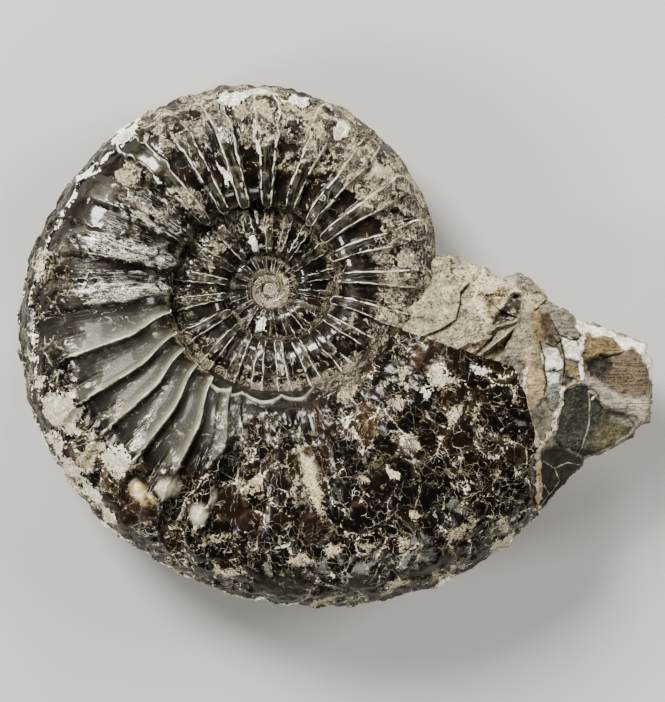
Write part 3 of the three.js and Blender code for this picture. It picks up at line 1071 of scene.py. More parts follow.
@dataclass
class Slab(Piece):
    """A block of stone seen from above: an outline, a top and an underside.

    Attributes:
        outline: The corners of the outline, anticlockwise.
        centre: A point from which the whole outline can be seen.
        ground: The colour outside every stain.
        stains: The parts with colours of their own, each laid over those before.
        veins: The veins, laid over the stains.
        around: Points in a ring.
        top_rings, wall_rings, under_rings: Rings across the top, down the side and across below.
        raggedness: How far noise moves the edges of stains, in millimetres.
    """

    name: str
    outline: Path
    centre: Pair
    ground: Colour
    stains: tuple[Stain, ...]
    veins: tuple[Vein, ...]
    around: int = 560
    top_rings: int = 126
    wall_rings: int = 16
    under_rings: int = 20
    crease: float = 38.0
    raggedness: float = 0.24

    def edge(self) -> Array:
        """The outline at even steps, roughened sideways by noise."""
        corners = np.array(self.outline + self.outline[:1])
        length = np.concatenate([[0.0], np.cumsum(np.hypot(*np.diff(corners, axis=0).T))])
        at = np.linspace(0.0, length[-1], self.around, endpoint=False)
        edge = np.stack([np.interp(at, length, corners[:, k]) for k in range(2)], axis=-1)
        places = np.concatenate([edge, np.zeros((len(edge), 1))], axis=-1)
        away = edge - np.array(self.centre)
        away /= np.linalg.norm(away, axis=-1, keepdims=True)
        return edge + away * 0.28 * Grain(81).rough(places, 1.8, 3)[:, None]

    def fracture(self, x: Array, y: Array) -> Array:
        """The height of the broken face, without stains, veins and grain."""
        raise NotImplementedError

    def top(self, x: Array, y: Array) -> Array:
        """The height of the top: the broken face, its stains and veins, steps and grain."""
        height, ragged = self.fracture(x, y), self._ragged(x, y)
        for part in (*self.stains, *self.veins):
            height = height + part.raised * part.mask(x, y, ragged)
        return height + 0.1 * Grain(95).rough(flat(x, y), 0.8, 3)

    def _ragged(self, x: Array, y: Array) -> Array:
        """How far noise moves the edges of stains at each place."""
        return self.raggedness * Grain(87).rough(flat(x, y), 1.1, 4)

    def under(self, x: Array, y: Array) -> Array:
        """The height of the underside: deeper towards the body whorl, and rough."""
        rough = Grain(83).rough(flat(x, y, -5.0), 3.0, 3)
        return -2.6 - 0.16 * np.maximum(44.0 - x, 0.0) + 0.5 * rough

    def paint(self, surface: Surface, wall: Array) -> Surface:
        """Adds the colour of each place, and how strongly fine lines show there.

        Args:
            surface: The slab's skin.
            wall: 1 on the side and below, 0 on the top.

        Returns:
            The skin with the ground's colour and, on the top, every stain and vein laid over it:
            colour + mask * (the part's colour - colour).
        """
        x, y = surface.points[:, 0], surface.points[:, 1]
        ragged = self._ragged(x, y)
        colour = np.broadcast_to(np.array(self.ground), (len(x), 3))
        lined = np.zeros(len(x))
        for part in (*self.stains, *self.veins):
            share = part.mask(x, y, ragged) * (1.0 - wall)
            colour = colour + share[:, None] * (np.array(part.colour) - colour)
            lined += share * (part.lined - lined)
        return Surface(surface.points, surface.faces, {Layer.LINED: lined, Layer.TINT: colour})

    def surface(self) -> Surface:
        """The closed skin: rings from the middle of the top, over the edge, to the middle below.

        Returns:
            A top of rings that widen with the power 0.9 of their number, a side that bulges by a sine
            of the way down and stands out in ledges where flattened noise is stepped, and an underside.
        """
        edge, centre = self.edge(), np.array(self.centre)
        out = (np.linspace(0.012, 1.0, self.top_rings) ** 0.9)[:, None, None]
        top = centre + out * (edge - centre)
        top_height = self.top(top[..., 0], top[..., 1])
        back = np.linspace(1.0, 0.02, self.under_rings)[:, None, None]
        under = centre + back * (edge - centre)
        under_height = self.under(under[..., 0], under[..., 1])
        down = np.linspace(0.0, 1.0, self.wall_rings + 2)[1:-1][:, None]
        wall_height = top_height[-1] + down * (under_height[0] - top_height[-1])
        wall = np.broadcast_to(edge, (self.wall_rings, *edge.shape))
        places = np.concatenate([wall, wall_height[..., None]], axis=-1)
        layered = stepped(Grain(103).rough(places * np.array([0.6, 0.6, 1.6]), 2.2, 4), 4.0)
        bulge = np.sin(math.pi * down) * (0.35 + 0.5 * Grain(85).rough(places, 2.0, 3) + 1.5 * layered)
        away = (edge - centre) / np.linalg.norm(edge - centre, axis=-1, keepdims=True)
        wall = wall + away * bulge[..., None]
        height = np.concatenate([top_height, wall_height, under_height])
        points = np.concatenate([np.concatenate([top, wall, under]), height[..., None]], axis=-1)
        is_wall = np.zeros(points.shape[:2])
        is_wall[self.top_rings : self.top_rings + self.wall_rings] = smooth(0.15, 0.7, down)
        is_wall[self.top_rings + self.wall_rings :] = 1.0
        poles = np.stack([points[0].mean(axis=0), points[-1].mean(axis=0)])
        every = np.concatenate([points.reshape(-1, 3), poles])
        walls = np.concatenate([is_wall.ravel(), [0.0, 1.0]])
        return self.paint(Surface(every, tube_faces(len(points), self.around)), walls)


WEDGE_OUTLINE = (
    (39.6, -3), (38.9, -1.9), (37.7, -0.9), (37, 0.35), (35.9, 1.5), (34.4, 1.85), (32.8, 1), (31.6, 1.3),
    (29.9, 2.6), (28.5, 3.3), (27.2, 3.7), (25.4, 4.2), (23.3, 4.4), (21, 3), (19, -2), (18, -10),
    (24, -15), (31, -15), (34.6, -11), (36.6, -7.2), (38.4, -4),
)
WEDGE_LAYER_EDGE = (
    (25.3, 4.6), (25.3, 2.1), (26.5, 1.2), (27.8, 0.75), (26.5, -0.65), (26.4, -2.3), (25.8, -4.4),
    (24, -5.6), (21.4, -6.7), (17, -7.4),
)
WEDGE_RIDGES = (
    ((28.1, -10), (31.9, -7.2), (34, -5.5), (35.8, -3.9)),
    ((30.4, -6.2), (31.4, -5.5), (33.7, -4.8), (34.9, -4.1)),
    ((25.4, -11.2), (28.4, -9), (30.6, -6.9)),
    ((29.8, -11.4), (32.8, -9.4), (34.6, -7.8)),
    ((22, -10.6), (25, -9), (27.6, -7.6)),
)
# The near-black hollow and the dark brown stains set below 0 carry painted shade.
WEDGE_STAINS = (
    Stain(BUFF, ((27.9, 3.3), (29.4, 2.4), (31.6, 1.2), (33.6, 0.7), (33.2, -1.4), (31, -4.6),
        (29.6, -4.6), (28.2, -2)), 0, 0, 0.9),
    Stain(GOLD, ((30.2, -1.3), (31.6, 0), (33.3, 0), (33.1, -1.3), (31.6, -2.8), (30.9, -4.1),
        (30, -3.7)), -0.15, 0.3, 0.5),
    Stain(HOLLOW_SHADE, ((31, -5.1), (31.2, -4.2), (33.1, -2), (34, -0.7), (35.2, -1.1), (34.9, -3.4), (34, -4.4),
        (32.3, -5.1)), -1.1, 0.4, 0.35),
    Stain(ASH, ((34.1, 1.3), (35, 2.2), (36.6, 1.2), (37.6, -0.6), (36.4, -0.9), (34.6, 0.2)), 0.7, 0,
        0.5),
    Stain(RECESS_SHADE, ((34, -5.9), (35.1, -4.5), (36.5, -4.1), (36.3, -5.5), (34.9, -6.5)), -0.6, 0.3, 0.3),
    Stain(RECESS_SHADE, ((27.4, -9.1), (28.1, -7.9), (31.2, -6.7), (30.5, -7.6), (28.9, -9.2)), -0.5, 0.5, 0.3),
    Stain(TAWNY, ((22, -10), (25, -8.8), (27.4, -8.2), (26.8, -9.4), (24, -10.8)), -0.4, 0.5, 0.4),
    Stain(TAWNY, ((31.2, -8.4), (33, -6.9), (34.4, -6), (34, -7.4), (32.4, -8.8)), -0.4, 0.5, 0.4),
    Stain(STRAW, ((36, -2), (37.6, -2.3), (37.9, -4.4), (36.9, -6.6), (36.3, -4)), 0, 0.2, 0.7),
)
WEDGE_VEINS = (
    Vein(PALE_SPAR, ((29.9, 2.9), (29.5, 1.4), (28.9, -0.4), (28.4, -1.6), (29.1, -3.4), (29.9, -4.4)),
        0.2, 0.12),
    Vein(PALE_SPAR, ((28.9, -0.4), (28.1, 0.4), (27.4, 0.5)), 0.1, 0.05),
    Vein(SPAR, ((29.5, -1.6), (29.8, -1.1), (31.2, 0.3), (32.8, 0.7), (34, 0.5)), 0.14, 0.12),
    # Painted shadow along the foot of the raised layer's edge.
    Vein(RECESS_SHADE, ((25.4, 2.1), (26.6, 1.3), (27.8, 0.8), (26.7, -0.6), (26.5, -2.3), (25.9, -4.4),
        (24.1, -5.7), (21.4, -6.8)), 0.07, -0.12),
    Vein(PEBBLE, WEDGE_RIDGES[0], 0.22, 0.1),
    Vein(PEBBLE, ((30.6, -6), (31.4, -5.5), (33.7, -4.8), (34.9, -4.1), (35.2, -1.2)), 0.18, 0.1),
)


@dataclass
class MudstoneWedge(Slab):
    """The wedge of mudstone between the rim and the broken mouth.

    Attributes:
        layer_edge: The line where the raised layer on the left ends.
        ridges: Lines of sharp ridges; the stone drops off beside the first of them.
    """

    name: str = "mudstone_wedge"
    outline: Path = WEDGE_OUTLINE
    centre: Pair = (29.0, -5.5)
    ground: Colour = CLAY
    layer_edge: Path = WEDGE_LAYER_EDGE
    ridges: tuple[Path, ...] = WEDGE_RIDGES
    stains: tuple[Stain, ...] = WEDGE_STAINS
    veins: tuple[Vein, ...] = WEDGE_VEINS

    def fracture(self, x: Array, y: Array) -> Array:
        """The height of the broken face, without stains, veins and grain.

        Args:
            x, y: The places.

        Returns:
            A slope up to the body whorl, a raised layer on the left, steps, and ridges beside a drop.
        """
        places = flat(x, y)
        past_edge = -side_of_path(x, y, self.layer_edge)
        layer = past_edge + 0.15 * Grain(91).rough(places, 1.2, 3)
        below = smooth(0.0, 2.2, -side_of_path(x, y, self.ridges[0]))
        ridge = np.minimum.reduce([distance_to_path(x, y, path) for path in self.ridges])
        ridge = ridge + 0.15 * Grain(94).rough(places, 1.0, 2)
        bedding = stepped(Grain(93).rough(places * np.array([1.0, 1.4, 1.0]), 4.6, 4), 6.0)
        return (
            2.7
            + 0.08 * (x - 28.0)
            - 0.4 * (y - 3.0)
            + 0.7 * smooth(-0.06, 0.06, layer)
            - 1.4 * below
            + 0.85 * bell(ridge, 0.0, 0.3)
            + 0.55 * np.abs(Grain(97).waves(places, 2.2)) * smooth(-0.5, 1.5, past_edge)
            + 0.75 * bedding
        )


CHAMBERS_OUTLINE = (
    (35.1, -33.9), (36.2, -32), (38, -30.6), (39.5, -28.9), (40.7, -27.6), (43, -24.9), (43.8, -23.6),
    (45.4, -23), (47.8, -22.1), (50.2, -20.4), (51.4, -19), (52.4, -18.6), (52.9, -15.9), (53.3, -13.1),
    (53.4, -11), (52.9, -8.9), (52.3, -7.9), (50.2, -7.2), (47.8, -6.4), (45.5, -5.5), (42.9, -4.7),
    (40.8, -3.2), (38.6, -2.6), (35, -4), (31, -12), (30, -22), (31, -31),
)
CHAMBERS_WALL_EDGE = (
    (42.9, -4.4), (47.9, -6.1), (52.6, -7.7), (53.7, -11), (53.5, -14.5),
)
# Near-black and dark brown stains set below 0 are hollows and gaps, with painted shade.
CHAMBERS_STAINS = (
    Stain(ASH, ((38.4, -2.6), (40.7, -2.6), (43, -4.9), (43, -7.1), (41, -7.5), (39.7, -6.6), (39, -4.5)),
        0.25, 1),
    Stain(CLAY, ((33, -6), (36.4, -5), (37.4, -8.4), (36.8, -10), (35, -10.6), (32, -9)), 0.1, 0.6, 0.7),
    Stain(GOLD, ((36.2, -3.6), (37.6, -3.4), (38, -6.4), (37.2, -8.6), (36.4, -7)), 0.1, 0.4, 0.5),
    Stain(STRAW, ((35.2, -8.4), (36.6, -8), (37.2, -10.2), (36, -11), (35, -10.2)), 0.1, 0.4, 0.4),
    Stain(RECESS_SHADE, ((37.4, -3.6), (38.6, -3.8), (39.4, -6.2), (40, -8.6), (38.9, -8.2), (38, -6)), -0.3,
        0.3, 0.35),
    Stain(STRAW, ((35.6, -11), (37.7, -11), (38.3, -12.9), (37.9, -14.8), (36.4, -16.6), (35.4, -17),
        (35.1, -13.3)), 0, 0.5, 0.25),
    Stain(ASH, ((36.4, -16.6), (38.2, -15.1), (38.8, -16.3), (39.2, -17.6), (38.6, -18.9), (37.5, -20),
        (36.2, -18.5)), -0.45, 0.1, 0.25),
    Stain(CHALK, ((37.7, -8.2), (39.7, -8.4), (40.7, -10.3), (40.5, -11.2), (38.1, -11.4), (37.5, -9.5)),
        0.65, 0.4),
    Stain(STEEL, ((38.1, -11.6), (40.5, -11.6), (40.3, -13.3), (39.9, -14.6), (39.7, -16.1),
        (38.8, -16.1), (38.2, -14.4)), 0.25, 0.5, 0.25),
    Stain(CHALK, ((38.1, -11.6), (40.4, -11.6), (40.1, -13), (38.6, -13.2)), 0.1, 0.3, 0.25),
    Stain(CHALK, ((40.1, -6.7), (42.7, -7.5), (43, -9), (43.1, -10.3), (41, -9.7), (40.5, -8)), 0.5, 0.2,
        0.2),
    Stain(GOLD, ((40.7, -10.3), (43, -10.7), (43.1, -12.2), (42.3, -12.3), (40.7, -11.4)), 0, 1),
    Stain(RECESS_SHADE, ((40.9, -12.2), (42.3, -12.7), (40.5, -14)), -0.3),
    Stain(OLIVE, ((40.6, -14.4), (42.7, -13.5), (44.2, -13.6), (45.3, -15), (46.5, -16.6), (48.3, -17),
        (50.2, -17.9), (50.9, -18.9), (50.2, -20.2), (48, -21.9), (45.4, -23), (43.4, -23.4),
        (39.4, -21.5), (39.7, -19.8), (40.3, -17)), -0.2, 0.15, 0.15),
    Stain(MOSS, ((46.5, -18.4), (48.5, -18.4), (50.2, -19.3), (48.6, -21.2), (46, -22.6), (44.6, -21.6)),
        0, 0.4, 1.1),
    Stain(ASH, ((47.4, -17.6), (50.3, -18.2), (50.6, -19.2), (49.2, -19.2), (47.6, -18.6)), 0, 0.2, 0.35),
    Stain(TAWNY, ((50.4, -8.2), (52.1, -9.9), (53, -11.8), (53, -13.2), (52.5, -14.8), (50.8, -15.2),
        (48.5, -14.6), (46.1, -13), (43.8, -11.6), (44.4, -10.4), (47, -10.6), (47.4, -9.5),
        (49.3, -9.2)), 0, 0.8, 0.15),
    Stain(GOLD, ((44.2, -6.1), (45.3, -6.7), (47, -6.7), (48.3, -7.6), (49.1, -9), (48, -9.4),
        (46.5, -9.6), (44.6, -9.9), (43.4, -10.5), (42.9, -9.2), (43.4, -7.6)), 0.15, 0.6, 0.15),
    Stain(HOLLOW_SHADE, ((43.9, -10.2), (45.2, -9.6), (47.2, -9.8), (47.5, -11.2), (46.4, -12.6), (44.8, -12.2)),
        -0.9, 0.5, 0.4),
    Stain(HOLLOW_SHADE, ((45.9, -9.3), (48.9, -9), (49.3, -8.8), (48.7, -9.4), (46.4, -9.8)), -0.3, 0, 0.15),
    Stain(PEBBLE, ((42.3, -12.7), (43.9, -12.3), (46.1, -13.3), (48.5, -15), (50.8, -15.5), (52.8, -15.1),
        (52.6, -17), (52.3, -18.6), (50.2, -17.6), (48.3, -17), (46.5, -16.6), (45.7, -15.1),
        (44.2, -13.5), (42.7, -13.3), (40.7, -14.2)), 0.15, 0.9, 0.2),
    Stain(HOLLOW_SHADE, ((37.4, -22.6), (39.4, -21.7), (43.4, -23.6), (44.2, -24.6), (42, -27.5), (38, -32),
        (37.2, -28)), -0.35, 0, 0.3),
    Stain(CHALK, ((42.9, -4), (48, -5.7), (53, -7.4), (54.2, -11), (54, -13.6), (53.1, -12.6),
        (52.5, -10.7), (51.5, -9.2), (50.4, -8.1), (49.6, -8.6), (48.9, -8.3), (48.1, -7.3), (47, -6.6),
        (45.2, -6.8), (44.2, -6.2), (43.2, -6.4), (42.4, -5.4)), -0.1, 0, 0.12),
)
CHAMBERS_VEINS = (
    Vein(CHALK, ((43.1, -4.9), (43.5, -6.6), (43.1, -8), (42.9, -9.2), (43.2, -11.4), (43.4, -12.4)),
        0.34),
    Vein(SPAR, ((40.5, -14), (40.3, -16.1), (39.7, -17.9), (39.2, -19.6), (37.9, -21.1), (37.1, -22.4)),
        0.34),
    Vein(SPAR, ((35.2, -11.5), (35.1, -13.3), (35.3, -16.1), (35.8, -18.3), (36.6, -20.4), (37, -22.4)),
        0.36),
    Vein(SPAR, ((37.1, -22.2), (37, -25.6), (37.5, -29.6), (36.2, -31.9), (34.2, -35)), 0.5, 0.3),
    Vein(STRAW, ((37.4, -25), (37.7, -28), (37.2, -30.5)), 0.24, 0.1),
    Vein(TAWNY, ((37.3, -7.6), (37.9, -9.6), (37.9, -11.4), (38.3, -13), (37.9, -14.8)), 0.1, -0.25),
    Vein(TAWNY, ((40.2, -7), (40.8, -9.4), (40.8, -11.2), (40.5, -13.4)), 0.09, -0.25),
    Vein(RECESS_SHADE, ((38.2, -7.8), (39.4, -8.2), (40.4, -7.2)), 0.11, -0.25),
    Vein(TAWNY, ((38, -11.5), (39.2, -11.8), (40.5, -11.3)), 0.05, -0.12),
    Vein(RECESS_SHADE, ((39, -4.6), (40, -6.5), (41.8, -7.3), (43, -7.1)), 0.08, -0.2),
    Vein(PEBBLE, ((35.4, -5.6), (36.4, -7.2), (36.8, -9.4), (37.2, -11)), 0.1, 0.15),
    Vein(PEBBLE, ((44.2, -13.9), (44.5, -16.1), (44.4, -17.6), (44.4, -18.9), (43.3, -22.2),
        (42.6, -23.4)), 0.08, 0.06),
    Vein(SPAR, ((44.9, -15.4), (45.4, -14.8), (44.4, -14.2)), 0.14, 0.06),
    Vein(SPAR, ((38, -24), (39.6, -25), (40.4, -26.8), (39.2, -28.6)), 0.05, 0.05),
    Vein(SPAR, ((39.6, -25), (41.4, -24.2), (43.2, -24.6)), 0.05, 0.05),
    Vein(SPAR, ((38.2, -27.4), (39, -28.6), (37.8, -30.6)), 0.05, 0.05),
)


@dataclass
class BrokenChambers(Slab):
    """The last chambers, broken open: a tongue of calcite between white chamber walls.

    Attributes:
        wall_edge: The line along which the chamber wall falls off.
    """

    name: str = "broken_chambers"
    raggedness: float = 0.55
    outline: Path = CHAMBERS_OUTLINE
    centre: Pair = (40.5, -15.5)
    ground: Colour = ASH
    wall_edge: Path = CHAMBERS_WALL_EDGE
    stains: tuple[Stain, ...] = CHAMBERS_STAINS
    veins: tuple[Vein, ...] = CHAMBERS_VEINS

    def fracture(self, x: Array, y: Array) -> Array:
        """The height of the broken face, without stains, veins and grain.

        Args:
            x, y: The places.

        Returns:
            Flat fractures that meet in straight edges: the greater and lesser of sloping planes.
        """
        tongue = 5.0 - 0.17 * (x - 43.0)
        olive = tongue - 0.36 * np.maximum(-13.6 - y - 0.45 * np.maximum(x - 44.0, 0.0), 0.0)
        root = 5.3 + 0.52 * (43.0 - x)
        height = np.maximum(olive, root) - 0.72 * np.maximum(-22.3 - y + 0.1 * (43.0 - x), 0.0)
        rim = 1.0 - smooth(0.0, 1.5, distance_to_path(x, y, self.wall_edge))
        return height - 1.7 * rim + 0.45 * stepped(Grain(101).rough(flat(x, y), 3.4, 3), 6.0)


# ---- Shader graphs ----


class Value:
    """A socket of a shader graph that takes part in arithmetic: each operator adds a Math node."""

    def __init__(self, graph: "Graph", socket: bpy.types.NodeSocket) -> None:
        """Keeps the graph that new nodes go into, and the socket."""
        self.graph = graph
        self.socket = socket

    def _with(self, operation: str, first: "Value | float", second: "Value | float") -> "Value":
        """The result of a Math node on two values."""
        return self.graph.value("Math", {"operation": operation}, {0: first, 1: second})

    def __add__(self, other: "Value | float") -> "Value":
        """The sum."""
        return self._with("ADD", self, other)

    __radd__ = __add__

    def __sub__(self, other: "Value | float") -> "Value":
        """The difference."""
        return self._with("SUBTRACT", self, other)

    def __rsub__(self, other: float) -> "Value":
        """The difference, with a number first."""
        return self._with("SUBTRACT", other, self)

    def __mul__(self, other: "Value | float") -> "Value":
        """The product."""
        return self._with("MULTIPLY", self, other)

    __rmul__ = __mul__

    def largest(self, other: "Value | float") -> "Value":
        """The greater of two values."""
        return self._with("MAXIMUM", self, other)

    def line(self, wide: float, thin: float, level: float = 0.5) -> "Value":
        """1 within thin of a level and 0 further than wide from it: a line where noise crosses it."""
        return self.off(level).step(wide, thin)

    def off(self, level: float = 0.5) -> "Value":
        """How far the value is from a level: |value - level|."""
        return self._with("ABSOLUTE", self - level, 0.0)

    def step(self, low: float, high: float) -> "Value":
        """Goes smoothly from 0 at low to 1 at high; low may be the greater of the two."""
        ends = {"Value": self, "From Min": low, "From Max": high, "To Min": 0.0, "To Max": 1.0}
        if low > high:
            ends.update({"From Min": high, "From Max": low, "To Min": 1.0, "To Max": 0.0})
        return self.graph.value("MapRange", {"interpolation_type": "SMOOTHSTEP"}, ends)


class Graph:
    """The node graph of one material, whose patterns are measured in millimetres."""

    def __init__(self, name: str) -> None:
        """Makes an empty material and its coordinates in millimetres.

        Args:
            name: The material's name.
        """
        self.material = bpy.data.materials.new(name)
        self.material.use_nodes = True
        self.tree = self.material.node_tree
        self.tree.nodes.clear()
        place = self.value("TexCoord", {}, {}, "Object")
        self.place = self.value("VectorMath", {"operation": "SCALE"}, {0: place, "Scale": 1.0 / MM})

    def node(self, kind: str, settings: dict | None = None, sockets: dict | None = None) -> Node:
        """Adds any node.

        Args:
            kind: The node's type, without the "ShaderNode" that starts it.
            settings: Its own settings, which are set first.
            sockets: A number, colour or Value for each input, by name or place.

        Returns:
            The node.
        """
        made = self.tree.nodes.new(f"ShaderNode{kind}")
        for key, setting in (settings or {}).items():
            setattr(made, key, setting)
        for key, given in (sockets or {}).items():
            if isinstance(given, Value):
                self.tree.links.new(given.socket, made.inputs[key])
            elif isinstance(given, tuple) and len(given) == 3 and made.inputs[key].type == "RGBA":
                made.inputs[key].default_value = (*given, 1.0)
            else:
                made.inputs[key].default_value = given
        return made

    def value(self, kind: str, settings: dict, sockets: dict, output: str | int = 0) -> Value:
        """Adds any node and gives one of its outputs."""
        return Value(self, self.node(kind, settings, sockets).outputs[output])

    def layer(self, layer: Layer, output: str = "Fac") -> Value:
        """A number that the mesh carries, or its colour from the output "Color"."""
        return self.value("Attribute", {"attribute_name": layer.attribute()}, {}, output)

    def ragged(self, layer: Layer, noise: Value, low: float, high: float) -> Value:
        """A layer with its edge torn by noise, and nothing where the layer is 0."""
        carried = self.layer(layer)
        return (carried + noise).step(low, high) * carried.step(0.02, 0.12)

    def bent(self, size: float, amount: float, place: Value | None = None) -> Value:
        """Coordinates, the plain ones if none are given: place + amount * noise of this size."""
        sockets = {"Vector": self.place, "Scale": 1.0 / size, "Detail": 2.0}
        push = self.value("TexNoise", {}, sockets, "Color")
        times = {0: push, 1: (amount, amount, amount), 2: place or self.place}
        return self.value("VectorMath", {"operation": "MULTIPLY_ADD"}, times)

    def stretched(self, amounts: Triple, turn: float) -> Value:
        """The coordinates turned about Z by this many degrees and then scaled."""
        sockets = {"Vector": self.place, "Rotation": (0.0, 0.0, math.radians(turn)), "Scale": amounts}
        return self.value("Mapping", {"vector_type": "POINT"}, sockets)

    def flowing(self, width: float, length: float) -> Value:
        """Coordinates along and across the shell, scaled so that noise gives streaks of this size."""
        along, out = self.layer(Layer.ALONG) * (1.0 / width), self.layer(Layer.OUT) * (1.0 / length)
        return self.value("CombineXYZ", {}, {"X": along, "Y": out})

    def noise(self, size: float, detail: float, bend: float = 0.0, place: Value | None = None) -> Value:
        """Noise from 0 to 1.

        Args:
            size: The size of its largest lumps in millimetres.
            detail: How many finer layers it has.
            bend: How much it is swirled.
            place: Coordinates to read instead of the plain ones.

        Returns:
            The noise.
        """
        sockets = {"Vector": place or self.place, "Scale": 1.0 / size, "Detail": detail}
        return self.value("TexNoise", {}, {**sockets, "Distortion": bend}, "Fac")

    def borders(self, size: float, place: Value | None = None) -> Value:
        """The distance to the nearest border of random polygons of this size, as a share of the size."""
        sockets = {"Vector": place or self.place, "Scale": 1.0 / size}
        return self.value("TexVoronoi", {"feature": "DISTANCE_TO_EDGE"}, sockets, "Distance")

    def mix(self, share: Value | float, first: Value | Colour, second: Value | Colour) -> Value:
        """A colour that goes from the first to the second as share goes from 0 to 1."""
        return self.value("Mix", {"data_type": "RGBA"}, {0: share, 6: first, 7: second}, 2)

    def scaled(self, colour: Value, factor: float, most: float = 0.85) -> Value:
        """A colour made brighter or darker by a factor, each part of it kept below the most."""
        times = self.value("VectorMath", {"operation": "SCALE"}, {0: colour, "Scale": factor})
        return self.value("VectorMath", {"operation": "MINIMUM"}, {0: times, 1: (most, most, most)})

    def layered(self, base: Value | Colour, *coats: tuple[Value, Value | Colour]) -> Value:
        """Lays colours over a base, each where its share says."""
        colour = base
        for share, coat in coats:
            colour = self.mix(share, colour, coat)
        return colour

    def finished(
        self, colour: Value, roughness: Value, height: Value, coat: Value | float, gloss: Pair
    ) -> Material:
        """Joins everything to the shader.

        Args:
            colour: The base colour.
            roughness: The roughness.
            height: The fine relief in millimetres.
            coat: How much polish lies on top.
            gloss: The polish's roughness and the refractive index.

        Returns:
            The material.
        """
        bump = self.value("Bump", {}, {"Height": height, "Distance": MM, "Strength": 1.0})
        sockets = {"Base Color": colour, "Roughness": roughness, "Coat Weight": coat, "Normal": bump}
        constants = {"Coat Roughness": gloss[0], "IOR": gloss[1]}
        shader = self.node("BsdfPrincipled", {}, sockets | constants)
        output = self.node("OutputMaterial")
        self.tree.links.new(shader.outputs[0], output.inputs["Surface"])
        return self.material


